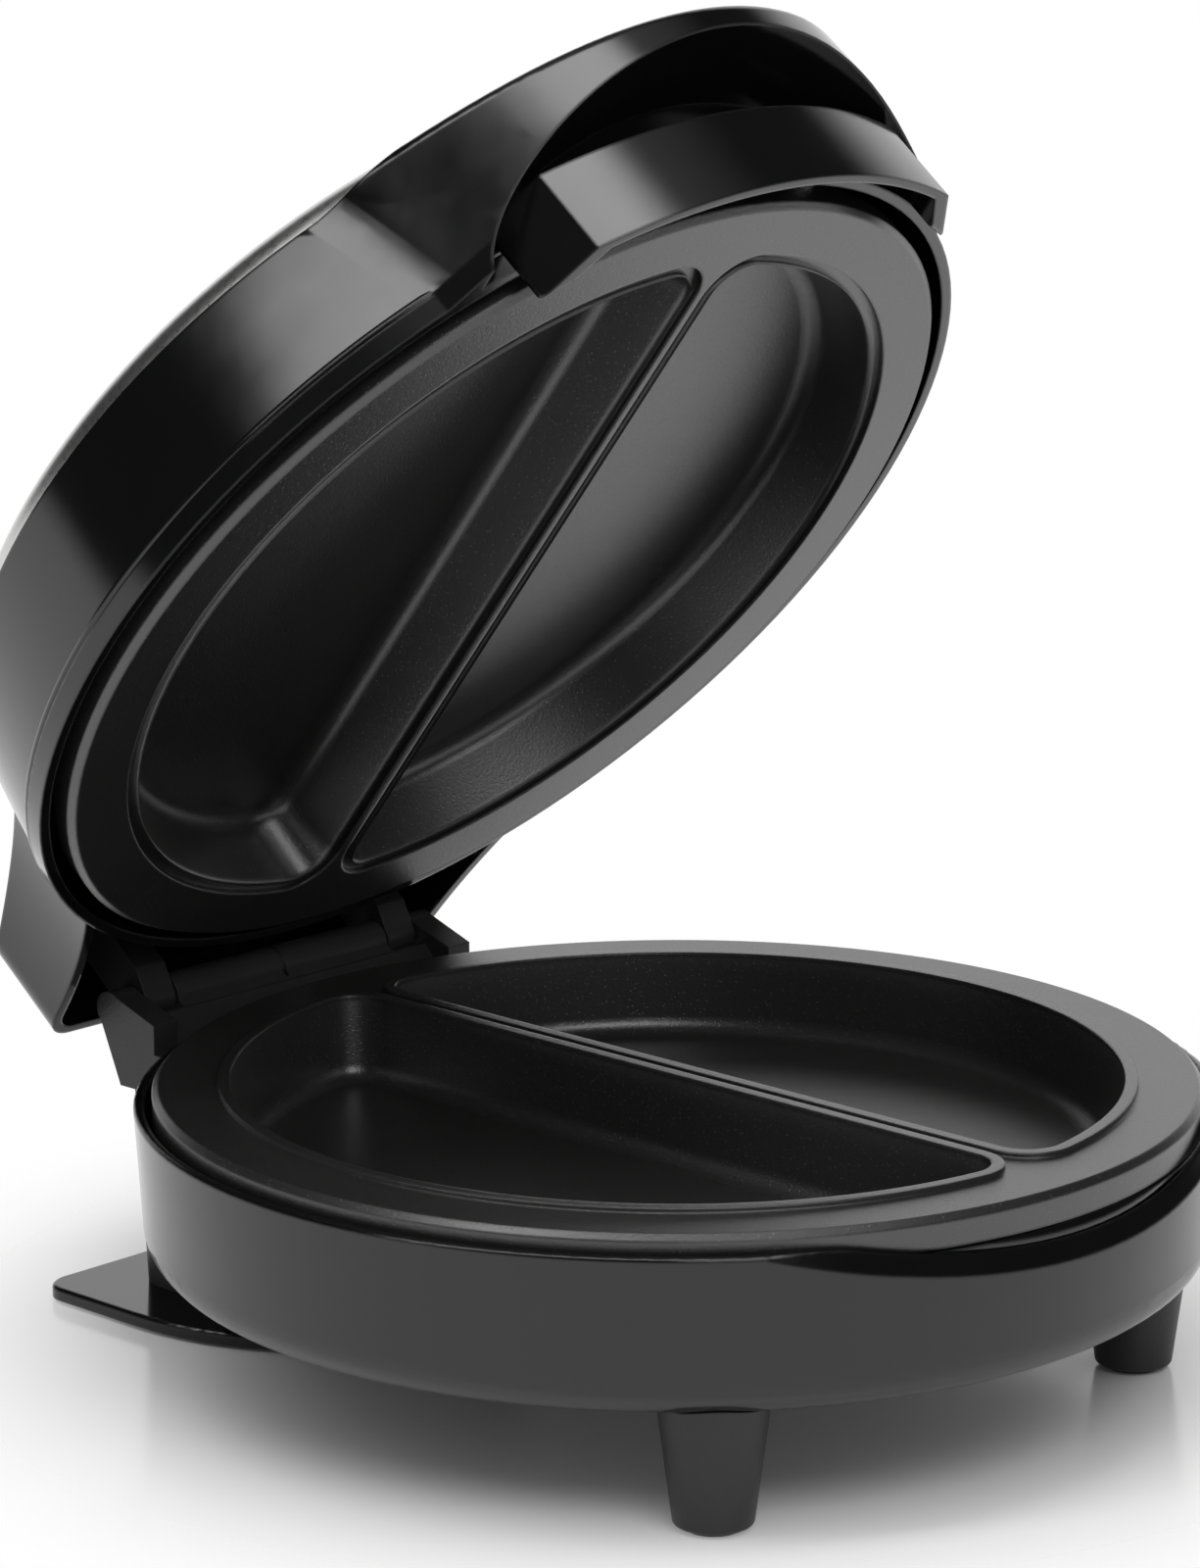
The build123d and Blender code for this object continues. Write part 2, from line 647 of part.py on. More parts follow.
with BuildPart() as hinge_stand:
    with BuildSketch(Plane.XY.offset(foot_plate_top)):
        with Locations((0, stand_front_y + stand_depth / 2)):
            RectangleRounded(2 * stand_half, stand_depth, stand_corner)
    with BuildSketch(Plane.XY.offset(stand_top_z)):
        with Locations((0, stand_front_y + (stand_depth + stand_lean) / 2)):
            RectangleRounded(2 * stand_half, stand_depth + stand_lean, stand_corner)
    loft(ruled=True)
    # Hollow foot block, open below.
    with BuildSketch(Plane.XY.offset(foot_plate_top)):
        with Locations((0, stand_front_y + stand_depth / 2)):
            RectangleRounded(
                2 * (stand_half - stand_wall), stand_depth - 2 * stand_wall, stand_corner - stand_wall
            )
    extrude(amount=base_bottom_z - stand_wall - foot_plate_top, mode=Mode.SUBTRACT)
    # Bosses inside it for the screws of the bowl and of the foot plate.
    with BuildSketch(Plane.XY.offset(foot_plate_top)):
        with Locations(stand_front_screws, stand_rear_screws):
            Circle(post_d / 2)
    extrude(amount=base_bottom_z - stand_wall - foot_plate_top)
    with BuildSketch(Plane.XY.offset(foot_plate_top)):
        with Locations(stand_front_screws, stand_rear_screws):
            Circle(screw_shank_d / 2)
    extrude(amount=screw_bite + 0.5, mode=Mode.SUBTRACT)
    with BuildSketch(Plane.XY.offset(base_bottom_z)):
        with Locations(stand_front_screws):
            Circle(screw_shank_d / 2)
    extrude(amount=-screw_bite - 0.5, mode=Mode.SUBTRACT)
    # Ears at both ends.
    for side in (-1, 1):
        with BuildSketch(Plane.YZ.offset(side * ear_mid)) as ear_side:
            with BuildLine():
                Polyline(
                    (hinge_y - ear_front, ear_foot_z),
                    (stand_back_y + stand_lean - ear_foot_in, ear_foot_z),
                    (hinge_y + ear_r, hinge_z),
                    (hinge_y, hinge_z + ear_r),
                    (hinge_y - ear_front, hinge_z - ear_slope),
                    close=True,
                )
            make_face()
            fillet(ear_side.vertices().sort_by(Axis.Z)[2], ear_r / 2)
            with Locations((hinge_y, hinge_z)):
                Circle(ear_r)
        extrude(amount=ear_w / 2, both=True)
    # The middle barrel on its web, and a low wall in front of the lid's knuckles.
    with BuildSketch(Plane.YZ):
        with BuildLine():
            Polyline(
                (harness_y - harness_r - fence_t, stand_top_z - 1),
                (hinge_y - 0.3 * barrel_r, stand_top_z - 1),
                (hinge_y + barrel_r / 2, hinge_z - 1),
                (hinge_y, hinge_z),
                (hinge_y - barrel_r, hinge_z),
                close=True,
            )
        make_face()
        with Locations((hinge_y, hinge_z)):
            Circle(barrel_r)
    extrude(amount=barrel_half, both=True)
    with BuildSketch(Plane.YZ):
        with BuildLine():
            Polyline(
                (harness_y - harness_r - fence_t, stand_top_z - 1),
                (hinge_y - fence_in, stand_top_z - 1),
                (hinge_y - fence_in, hinge_z - fence_drop),
                (hinge_y - fence_in - fence_t, hinge_z - fence_drop),
                close=True,
            )
        make_face()
    extrude(amount=ear_mid, both=True)
    # A fine moulding line round the middle of the barrel.
    with BuildSketch(Plane.YZ):
        with Locations((hinge_y, hinge_z)):
            Circle(barrel_r + line_w)
            Circle(barrel_r - line_d, mode=Mode.SUBTRACT)
    extrude(amount=line_w / 2, both=True, mode=Mode.SUBTRACT)
    add(bowl_envelope.part, mode=Mode.SUBTRACT)
    # Pin holes, blind at the outer faces, and the hollow of the barrel.
    with BuildSketch(Plane.YZ):
        with Locations((hinge_y, hinge_z)):
            Circle(pin_r + pin_press)
    extrude(amount=stand_half - pin_skin, both=True, mode=Mode.SUBTRACT)
    with BuildSketch(Plane.YZ):
        with Locations((hinge_y, hinge_z)):
            Circle(harness_r + harness_air)
    extrude(amount=barrel_half - pin_hold, both=True, mode=Mode.SUBTRACT)
    with BuildSketch(Plane(origin=harness_from, z_dir=(0, 1, 0))):
        Circle(harness_r + harness_air)
    sweep(path=harness_route.wire(), mode=Mode.SUBTRACT)
    # Cord inlet, wire passage to the bowl, and screw holes.
    with BuildSketch(Plane.XZ.offset(-stand_back_y - stand_lean - 1)):
        with Locations((-gland_x, gland_z)):
            Circle(gland_r + 0.05)
    extrude(amount=stand_wall + stand_lean + 4, mode=Mode.SUBTRACT)
    with BuildSketch(Plane.XZ.offset(-gland_seat_y)):
        with Locations((-gland_x, gland_z)):
            Circle(gland_flange_r + hole_air)
    extrude(amount=-stand_lean, mode=Mode.SUBTRACT)
    with BuildSketch(Plane.XY.offset(base_bottom_z)):
        with Locations((0, wire_slot_y)):
            SlotOverall(wire_slot_l, wire_slot_w)
    extrude(amount=-2 * stand_wall, mode=Mode.SUBTRACT)
save(hinge_stand.part, "hinge_stand")

with BuildPart() as hinge_harness:
    with BuildSketch(Plane(origin=harness_from, z_dir=(0, 1, 0))):
        Circle(harness_r)
    sweep(path=harness_route.wire())
save(hinge_harness.part, "hinge_harness")

for side, name in ((-1, "hinge_pin_left"), (1, "hinge_pin_right")):
    with BuildPart() as hinge_pin:
        with BuildSketch(Plane.YZ.offset(side * (barrel_half - pin_hold + 0.1))):
            with Locations((hinge_y, hinge_z)):
                Circle(pin_r)
        extrude(amount=side * (stand_half - pin_skin - barrel_half + pin_hold - 0.2))
        chamfer(hinge_pin.edges().filter_by(GeomType.CIRCLE), 0.3)
    save(hinge_pin.part, name)

# ---------------------------------------------------------------- feet
with BuildPart() as rear_foot_plate:
    with BuildSketch(Plane.XY.offset(foot_clear)) as foot_outline:
        with Locations((0, foot_plate_mid_y)):
            Circle(foot_plate_half)
        with Locations((0, foot_plate_mid_y)):
            Rectangle(2 * foot_plate_half, foot_plate_half, align=(Align.CENTER, Align.MIN))
        with Locations((0, foot_plate_back_y)):
            Rectangle(
                3 * foot_plate_half, foot_plate_half, align=(Align.CENTER, Align.MIN),
                mode=Mode.SUBTRACT,
            )
        fillet(foot_outline.vertices().group_by(Axis.Y)[-1], foot_plate_corner)
    extrude(amount=foot_plate_t)
    fillet(rear_foot_plate.faces().sort_by(Axis.Z)[-1].edges(), 0.8)
    with BuildSketch(Plane.XY.offset(foot_clear)):
        with Locations(stand_front_screws, stand_rear_screws):
            Circle(screw_shank_d / 2 + hole_air)
    extrude(amount=foot_plate_t, mode=Mode.SUBTRACT)
    with BuildSketch(Plane.XY.offset(foot_clear)):
        with Locations(stand_front_screws, stand_rear_screws):
            Circle(screw_head_d / 2 + hole_air)
    extrude(amount=stand_head_h + 0.1, mode=Mode.SUBTRACT)
    with BuildSketch(Plane.XY.offset(foot_clear)):
        with Locations((-rear_pad_x, rear_pad_y), (rear_pad_x, rear_pad_y)):
            Circle(pad_r + 0.05)
    extrude(amount=pad_t - foot_clear, mode=Mode.SUBTRACT)
save(rear_foot_plate.part, "rear_foot_plate")

for side, name in ((-1, "front_foot_left"), (1, "front_foot_right")):
    with BuildPart() as front_foot:
        with BuildSketch(Plane.XY.offset(foot_clear)):
            with Locations((side * foot_x, foot_y)):
                Circle(foot_bottom_r)
        foot_rise = base_bottom_z + base_bend_r / 2
        with BuildSketch(Plane.XY.offset(foot_rise)):
            with Locations((side * foot_x, foot_y)):
                Circle(foot_top_r)
        loft()
        fillet(front_foot.edges().group_by(Axis.Z)[0], 0.8)
        add(bowl_envelope.part, mode=Mode.SUBTRACT)
        with BuildSketch(Plane.XY):
            with Locations((side * foot_x, foot_y)):
                Circle(pad_r + 0.05)
        extrude(amount=pad_t, mode=Mode.SUBTRACT)
    save(front_foot.part, name)

with BuildPart() as foot_pads:
    with BuildSketch(Plane.XY):
        with Locations(
            (-foot_x, foot_y), (foot_x, foot_y), (-rear_pad_x, rear_pad_y), (rear_pad_x, rear_pad_y)
        ):
            Circle(pad_r)
    extrude(amount=pad_t)
    chamfer(foot_pads.edges().group_by(Axis.Z)[0], 0.3)
save(foot_pads.part, "foot_pads")

# Four screws hold the foot plate to the stand, two more hold the bowl down on it.
with BuildPart() as stand_screws:
    head_z = foot_clear + 0.08
    with BuildSketch(Plane.XY.offset(head_z)):
        with Locations(stand_front_screws, stand_rear_screws):
            Circle(screw_head_d / 2)
    extrude(amount=stand_head_h)
    with BuildSketch(Plane.XY.offset(head_z)):
        with Locations(stand_front_screws, stand_rear_screws):
            Circle(screw_shank_d / 2 - 0.01)
    extrude(amount=foot_plate_top + screw_bite - head_z)
    bowl_head_z = base_bottom_z + floor_t + 0.02
    with BuildSketch(Plane.XY.offset(bowl_head_z)):
        with Locations(stand_front_screws):
            Circle(screw_head_d / 2)
    extrude(amount=stand_head_h)
    with BuildSketch(Plane.XY.offset(bowl_head_z)):
        with Locations(stand_front_screws):
            Circle(screw_shank_d / 2 - 0.01)
    extrude(amount=base_bottom_z - screw_bite - bowl_head_z)
save(stand_screws.part, "stand_screws")

# ---------------------------------------------------------------- mains parts in the stand
with BuildPart() as cord_gland:
    gland_plane = Plane.XZ.offset(-gland_seat_y - gland_flange_t)
    with BuildSketch(gland_plane):
        with Locations((-gland_x, gland_z)):
            Circle(gland_flange_r)
    extrude(amount=gland_flange_t - 0.02)
    with BuildSketch(gland_plane):
        with Locations((-gland_x, gland_z)):
            Circle(gland_r)
    extrude(amount=gland_flange_t + stand_wall + 4)
    with BuildSketch(gland_plane):
        with Locations((-gland_x, gland_z)):
            Circle(gland_bore_r)
    extrude(amount=gland_flange_t + stand_wall + 5, mode=Mode.SUBTRACT)
    fillet(cord_gland.edges().filter_by(GeomType.CIRCLE).group_by(Axis.Y)[-1], 0.5)
save(cord_gland.part, "cord_gland")

with BuildPart() as terminal_block:
    with BuildSketch(Plane.XY.offset(foot_plate_top)):
        with Locations((0, wire_slot_y)):
            RectangleRounded(block_l, block_w, 1.5)
    extrude(amount=block_h)
    with BuildSketch(Plane.XY.offset(foot_plate_top + block_h)):
        with Locations((0, wire_slot_y)):
            with GridLocations(block_l / 3, 0, 3, 1):
                Circle(2.0)
    extrude(amount=-4.0, mode=Mode.SUBTRACT)
save(terminal_block.part, "terminal_block")

# ---------------------------------------------------------------- lower plate and its heater
beaded_plate = cast_plate(beaded=True)
element_form = heating_element()
shield_form = heat_shield()
screw_form = plate_screw_set()
thermostat_form = snap_thermostat()

with BuildPart() as lower_plate:
    with Locations((0, 0, plate_rim_z)):
        add(beaded_plate)
save(lower_plate.part, "lower_plate")

with BuildPart() as lower_heating_element:
    with Locations((0, 0, plate_rim_z)):
        add(element_form)
save(lower_heating_element.part, "lower_heating_element")

with BuildPart() as lower_heat_shield:
    with Locations((0, 0, plate_rim_z)):
        add(shield_form)
save(lower_heat_shield.part, "lower_heat_shield")

with BuildPart() as lower_plate_screws:
    with Locations((0, 0, plate_rim_z)):
        add(screw_form)
save(lower_plate_screws.part, "lower_plate_screws")

with BuildPart() as lower_thermostat:
    with Locations((0, 0, plate_rim_z)):
        add(thermostat_form)
save(lower_thermostat.part, "lower_thermostat")

with BuildPart() as thermal_fuse:
    with BuildSketch(Plane.XZ):
        with Locations((fuse_x, plate_rim_z - pan_depth - fuse_r)):
            Circle(fuse_r)
    extrude(amount=fuse_l / 2, both=True)
    with BuildSketch(Plane.XZ):
        with Locations((fuse_x, plate_rim_z - pan_depth - fuse_r)):
            Circle(fuse_lead_r)
    extrude(amount=1.5 * fuse_l, both=True)
save(thermal_fuse.part, "thermal_fuse")

# Sleeved wires from the element's two legs down to the terminal block.
with BuildPart() as base_wiring:
    for side in (-1, 1):
        with BuildLine() as wire_route:
            FilletPolyline(
                (side * leg_x, leg_tip_y + 0.1, plate_rim_z + element_z),
                (side * leg_x, wire_slot_y, plate_rim_z + element_z),
                (side * wire_x, wire_slot_y, plate_rim_z + element_z),
                (side * wire_x, wire_slot_y, foot_plate_top + block_h),
                radius=wire_bend_r,
            )
        with BuildSketch(Plane(origin=wire_route.wire() @ 0, z_dir=(0, 1, 0))):
            Circle(wire_r)
        sweep(path=wire_route.wire())
save(base_wiring.part, "base_wiring")

# ---------------------------------------------------------------- lid shell
crown_drop = panel_t + panel_air


def crown_points(drop):
    """Section of the lid's crown, moved in by `drop`: foot, slope, shoulder, middle, centre."""
    rise = lid_crown_h - lid_shoulder_h
    shoulder_x = lid_shoulder_r - 0.4 * drop
    dome_r = (shoulder_x**2 + rise**2) / (2 * rise)
    middle_h = lid_crown_h - dome_r + sqrt(dome_r**2 - (shoulder_x / 2) ** 2)
    return (
        (panel_edge_r - drop, lid_z + lid_wall_h),
        (lid_slope_r - 0.7 * drop, lid_z + lid_slope_h - 0.7 * drop),
        (shoulder_x, lid_z + lid_shoulder_h - drop),
        (shoulder_x / 2, lid_z + middle_h - drop),
        (0, lid_z + lid_crown_h - drop),
    )


def tail_block(inset, front_y):
    """The block behind the round of the lid, `inset` smaller on every outer side."""
    with BuildPart() as block:
        with BuildSketch(Plane.XY.offset(lid_z + tail_bottom_h - inset)) as tail_plan:
            with BuildLine():
                left = ThreePointArc(
                    (-tail_root, tail_root_y), (-tail_waist, tail_waist_y), (-tail_half, tail_back_y)
                )
                right = ThreePointArc(
                    (tail_root, tail_root_y), (tail_waist, tail_waist_y), (tail_half, tail_back_y)
                )
                Line(left @ 1, right @ 1)
                Polyline(left @ 0, (-tail_root, front_y), (tail_root, front_y), right @ 0)
            make_face()
            fillet(tail_plan.vertices().group_by(Axis.Y)[-1], tail_corner)
            offset(amount=-inset, mode=Mode.REPLACE)
        extrude(amount=tail_top_h)
        with BuildSketch(Plane.YZ):
            with BuildLine():
                low = lid_z + tail_bottom_h - inset
                top = lid_z + tail_top_h - inset
                roof = ThreePointArc(
                    (front_y, top),
                    (lid_top_r, top - 0.2 * tail_drop),
                    (tail_back_y - inset, top - tail_drop),
                )
                Polyline(roof @ 1, (tail_back_y - inset, low), (front_y, low), roof @ 0)
            make_face()
        extrude(amount=tail_root, both=True, mode=Mode.INTERSECT)
    return block.part


tail_outside = tail_block(0, lid_top_r - tail_front_in)
tail_inside = tail_block(wall_t, lid_top_r - tail_front_in)

with BuildPart() as lid_shell:
    # Hood: a bulge with a falling roof, opened at the front by an arch.
    band_top_h = lid_rim_h + lid_band_h + lid_band_step
    roof_h = lid_wall_h - 0.1
    hood_front_y = hood_y - hood_r - hood_lean
    with BuildSketch(Plane.XY.offset(lid_z + band_top_h)):
        add(lid_plan(lid_rim_r - lid_band_step - 0.02, hood_r + hood_lean / 2))
    with BuildSketch(Plane.XY.offset(lid_z + roof_h)):
        add(lid_plan(lid_top_r - 0.02, hood_r - hood_lean / 2))
    loft(ruled=True)
    with BuildSketch(Plane.XY.offset(lid_z + lid_rim_h)):
        add(lid_plan(lid_rim_r - lid_band_step - 0.02, hood_r + hood_lean / 2))
    extrude(amount=band_top_h - lid_rim_h)
    with BuildSketch(Plane.YZ):
        with BuildLine():
            hood_roof = ThreePointArc(
                (hood_front_y, lid_z + hood_front_h),
                (hood_front_y + hood_mid_in, lid_z + hood_mid_h),
                (hood_front_y + hood_root_in, lid_z + roof_h),
            )
            Polyline(
                hood_roof @ 1,
                (0, lid_z + roof_h),
                (0, lid_z + lid_rim_h),
                (hood_front_y, lid_z + lid_rim_h),
                hood_roof @ 0,
            )
        make_face()
    extrude(amount=lid_rim_r, both=True, mode=Mode.INTERSECT)
    roof_face = lid_shell.faces().filter_by(GeomType.CYLINDER).sort_by(Axis.Z)[-1]
    fillet(roof_face.edges().sort_by(Axis.Y)[:-1], hood_edge_r)
    with BuildSketch(Plane.XZ.offset(-hood_front_y)):
        with Locations((0, lid_z)):
            Ellipse(arch_half, arch_h)
    extrude(amount=hood_front_y + lid_top_r - arch_cut_in, mode=Mode.SUBTRACT)
    add(tail_outside)
    add(tail_inside, mode=Mode.SUBTRACT)
    # Round body of the lid.
    with BuildSketch(Plane.XZ):
        with BuildLine():
            foot, slope, shoulder, middle, centre = crown_points(crown_drop)
            ThreePointArc(foot, slope, shoulder)
            ThreePointArc(shoulder, middle, centre)
            Polyline(
                centre,
                (0, lid_z + lid_rim_h),
                (lid_rim_r, lid_z + lid_rim_h),
                (lid_rim_r, lid_z + lid_rim_h + lid_band_h),
                (lid_rim_r - lid_band_step, lid_z + lid_rim_h + lid_band_h + lid_band_step),
                (lid_top_r, lid_z + lid_wall_h),
                foot,
            )
        make_face()
    revolve(axis=Axis.Z)
    with BuildSketch(Plane.XZ):
        with BuildLine():
            foot, slope, shoulder, middle, centre = crown_points(crown_drop + lid_skin)
            ThreePointArc(foot, slope, shoulder)
            ThreePointArc(shoulder, middle, centre)
            Polyline(
                centre,
                (0, lid_z),
                (lid_rim_r - wall_t, lid_z),
                (lid_rim_r - wall_t, lid_z + lid_rim_h + lid_band_h),
                (lid_top_r - wall_t, lid_z + lid_wall_h - lid_skin),
                foot,
            )
        make_face()
    revolve(axis=Axis.Z, mode=Mode.SUBTRACT)
    # Ring that carries the upper heat shield, and posts for the upper plate.
    with BuildSketch(Plane.XY.offset(lid_z + reflector_depth)):
        Circle(reflector_r - shield_ring_in)
        Circle(reflector_r - shield_ring_in - shield_ring_t, mode=Mode.SUBTRACT)
    extrude(amount=lid_shoulder_h - reflector_depth - crown_drop)
    with BuildSketch(Plane.XY.offset(lid_z + post_gap_z)):
        with plate_posts:
            Circle(post_d / 2)
    extrude(amount=lid_wall_h + lid_skin - post_gap_z)
    with BuildSketch(Plane.XY.offset(lid_z + post_gap_z + post_web)):
        with plate_posts:
            Circle(screw_head_d / 2 + hole_air)
    extrude(amount=lid_crown_h, mode=Mode.SUBTRACT)
    with BuildSketch(Plane.XY.offset(lid_z)):
        with plate_posts:
            Circle(screw_shank_d / 2 + hole_air)
    extrude(amount=lid_crown_h, mode=Mode.SUBTRACT)
    # Bosses under the tail's roof for the hinge bracket.
    with BuildSketch(Plane.XY.offset(hinge_z + bracket_h)):
        with Locations(bracket_screws_at):
            Circle(boss_d / 2)
    extrude(amount=tail_top_h - tail_drop / 2 - bracket_h - wall_t / 2)
    with BuildSketch(Plane.XY.offset(hinge_z + bracket_h)):
        with Locations(bracket_screws_at):
            Circle(screw_shank_d / 2)
    extrude(amount=screw_bite - 1, mode=Mode.SUBTRACT)
    # Wire window to the tail, holes for the lamps and for the lip's screws.
    with BuildSketch(Plane.XZ.offset(-lid_rim_r)):
        with Locations((0, lid_z - element_z)):
            SlotOverall(wire_slot_l, wire_slot_w)
    extrude(amount=3 * wall_t, mode=Mode.SUBTRACT)
    with BuildSketch(Plane.XY.offset(lid_z + lid_wall_h)):
        with Locations(lamps_at):
            Circle(lens_r + lens_air)
    extrude(amount=lid_crown_h, mode=Mode.SUBTRACT)
    for side in (-1, 1):
        with BuildSketch(lip_screw_plane(side)):
            Circle(screw_shank_d / 2 + hole_air)
        extrude(amount=lid_rim_r - lip_screw_seat_r, both=True, mode=Mode.SUBTRACT)
lid_shell.part.label = "lid_shell"

# ---------------------------------------------------------------- steel top of the lid
with BuildPart() as lid_top_panel:
    with BuildSketch(Plane.XZ):
        with BuildLine():
            foot, slope, shoulder, middle, centre = crown_points(0)
            ThreePointArc(foot, slope, shoulder)
            ThreePointArc(shoulder, middle, centre)
            inner = crown_points(panel_t)
            Line(centre, inner[4])
            ThreePointArc(inner[4], inner[3], inner[2])
            ThreePointArc(inner[2], inner[1], inner[0])
            Line(inner[0], foot)
        make_face()
    revolve(axis=Axis.Z)
    with BuildSketch(Plane.XY.offset(lid_z + lid_wall_h)):
        with Locations(lamps_at):
            Circle(lens_r + lens_air)
    extrude(amount=lid_crown_h, mode=Mode.SUBTRACT)
lid_top_panel.part.label = "lid_top_panel"

# ---------------------------------------------------------------- handle lip
lip_z = lid_z + lip_low
lip_tall = lip_high - lip_low
with BuildPart() as handle_lip:
    with BuildSketch(Plane.XY.offset(lip_z)):
        add(lip_plan(lip_r, lip_seat_r, lip_half_deg, lip_root_deg))
    extrude(amount=lip_tall)
    fillet(handle_lip.edges().group_by(Axis.Z)[-1].sort_by(SortBy.LENGTH)[-1], 1.0)
    fillet(handle_lip.edges().group_by(Axis.Z)[0].sort_by(SortBy.LENGTH)[-1], 1.0)
    # Hollow, open below and behind.
    with BuildSketch(Plane.XY.offset(lip_z)):
        add(lip_plan(lip_r - lip_t, lip_seat_r - 1, lip_half_deg - 1.6, lip_root_deg - 2.2))
    extrude(amount=lip_tall - lip_t, mode=Mode.SUBTRACT)
    # Its cheeks follow the arch of the hood.
    with BuildSketch(Plane.XZ):
        with Locations((0, lid_z)):
            Ellipse(arch_half - lip_air, arch_h - lip_air)
        with Locations((0, lid_z)):
            Rectangle(2 * (arch_half - lip_air), lip_tall, align=(Align.CENTER, Align.MAX))
    extrude(amount=2 * lip_r, mode=Mode.INTERSECT)
    # Bosses that the lip's screws bite into.
    for side in (-1, 1):
        boss_plane = lip_screw_plane(side).offset(lip_seat_r - lip_screw_seat_r + 0.1)
        with BuildSketch(boss_plane):
            Circle(boss_d / 2)
        extrude(amount=lip_r - lip_t - lip_seat_r)
        with BuildSketch(boss_plane):
            Circle(screw_shank_d / 2)
        extrude(amount=screw_bite, mode=Mode.SUBTRACT)
handle_lip.part.label = "handle_lip"

with BuildPart() as handle_screws:
    for side in (-1, 1):
        with BuildSketch(lip_screw_plane(side)):
            Circle(screw_head_d / 2)
        extrude(amount=-screw_head_h)
        with BuildSketch(lip_screw_plane(side)):
            Circle(screw_shank_d / 2 - 0.03)
        extrude(amount=lip_seat_r - lip_screw_seat_r + screw_bite - 0.5)
handle_screws.part.label = "handle_screws"

# ---------------------------------------------------------------- hinge bracket of the lid
bracket_top = hinge_z + bracket_h
with BuildPart() as lid_hinge_bracket:
    for side in (-1, 1):
        with BuildSketch(Plane.YZ.offset(side * (knuckle_in + knuckle_w / 2))):
            with BuildLine():
                Polyline(
                    (hinge_y + knuckle_r, hinge_z),
                    (hinge_y + knuckle_r, bracket_top),
                    (hinge_y - bracket_front, bracket_top),
                    (hinge_y - bracket_front, hinge_z + knuckle_r),
                    (hinge_y - 0.9 * knuckle_r, hinge_z - 0.4 * knuckle_r),
                    close=True,
                )
            make_face()
            with Locations((hinge_y, hinge_z)):
                Circle(knuckle_r)
        extrude(amount=knuckle_w / 2, both=True)
    with BuildSketch(Plane.XY.offset(bracket_top)):
        with Locations((0, hinge_y - (bracket_front - knuckle_r) / 2)):
            Rectangle(2 * knuckle_out, bracket_front + knuckle_r)
    extrude(amount=-bracket_t)
    with BuildSketch(Plane.YZ):
        with Locations((hinge_y, hinge_z)):
            Circle(pin_r + pin_run)
    extrude(amount=knuckle_out, both=True, mode=Mode.SUBTRACT)
    with BuildSketch(Plane.XY.offset(bracket_top)):
        with Locations(bracket_screws_at):
            Circle(screw_shank_d / 2 + hole_air)
    extrude(amount=-bracket_t, mode=Mode.SUBTRACT)
lid_hinge_bracket.part.label = "lid_hinge_bracket"

with BuildPart() as bracket_screws:
    with BuildSketch(Plane.XY.offset(bracket_top - bracket_t)):
        with Locations(bracket_screws_at):
            Circle(screw_head_d / 2)
    extrude(amount=-screw_head_h)
    with BuildSketch(Plane.XY.offset(bracket_top - bracket_t)):
        with Locations(bracket_screws_at):
            Circle(screw_shank_d / 2 - 0.02)
    extrude(amount=bracket_t + screw_bite - 1.5)
bracket_screws.part.label = "bracket_screws"

# ---------------------------------------------------------------- upper plate and its heater
# The lid holds the same set turned over: x and z change sign, the legs still point back.
grooved_plate = cast_plate(beaded=False)
turned_over = Location((0, 0, lid_z), (0, 180, 0))

with BuildPart() as upper_plate:
    with Locations(turned_over):
        add(grooved_plate)
upper_plate.part.label = "upper_plate"

with BuildPart() as upper_heating_element:
    with Locations(turned_over):
        add(element_form)
upper_heating_element.part.label = "upper_heating_element"

with BuildPart() as upper_heat_shield:
    with Locations(turned_over):
        add(shield_form)
upper_heat_shield.part.label = "upper_heat_shield"

with BuildPart() as upper_plate_screws:
    with Locations(turned_over):
        add(screw_form)
upper_plate_screws.part.label = "upper_plate_screws"

with BuildPart() as upper_thermostat:
    with Locations(turned_over):
        add(thermostat_form)
upper_thermostat.part.label = "upper_thermostat"

# Sleeved wires from the upper element's legs, through the window into the tail.
wire_end_y = hinge_y - bracket_front - 2 * wire_r
with BuildPart() as lid_wiring:
    for side in (-1, 1):
        with BuildLine() as wire_route:
            FilletPolyline(
                (side * leg_x, leg_tip_y + 0.1, lid_z - element_z),
                (side * leg_x, wire_slot_y, lid_z - element_z),
                (side * wire_x, wire_slot_y, lid_z - element_z),
                (side * wire_x, wire_end_y, lid_z - element_z),
                radius=wire_bend_r,
            )
        with BuildSketch(Plane(origin=wire_route.wire() @ 0, z_dir=(0, 1, 0))):
            Circle(wire_r)
        sweep(path=wire_route.wire())
lid_wiring.part.label = "lid_wiring"

# ---------------------------------------------------------------- lamps in the lid
dome_rise = lid_crown_h - lid_shoulder_h
dome_r = (lid_shoulder_r**2 + dome_rise**2) / (2 * dome_rise)
lamp_reach = sqrt(lamp_x**2 + lamp_y**2)
lens_top_z = lid_z + lid_crown_h - dome_r + sqrt(dome_r**2 - lamp_reach**2) + lens_proud

for side, name in ((-1, "power_lamp_lens"), (1, "ready_lamp_lens")):
    with BuildPart() as lamp_lens:
        with BuildSketch(Plane.XY.offset(lens_top_z)):
            with Locations((side * lamp_x, lamp_y)):
                Circle(lens_r)
        extrude(amount=-lens_l)
        fillet(lamp_lens.edges().group_by(Axis.Z)[-1], lens_proud - 0.1)
    lamp_lens.part.label = name
    if side < 0:
        power_lamp_lens = lamp_lens
    else:
        ready_lamp_lens = lamp_lens

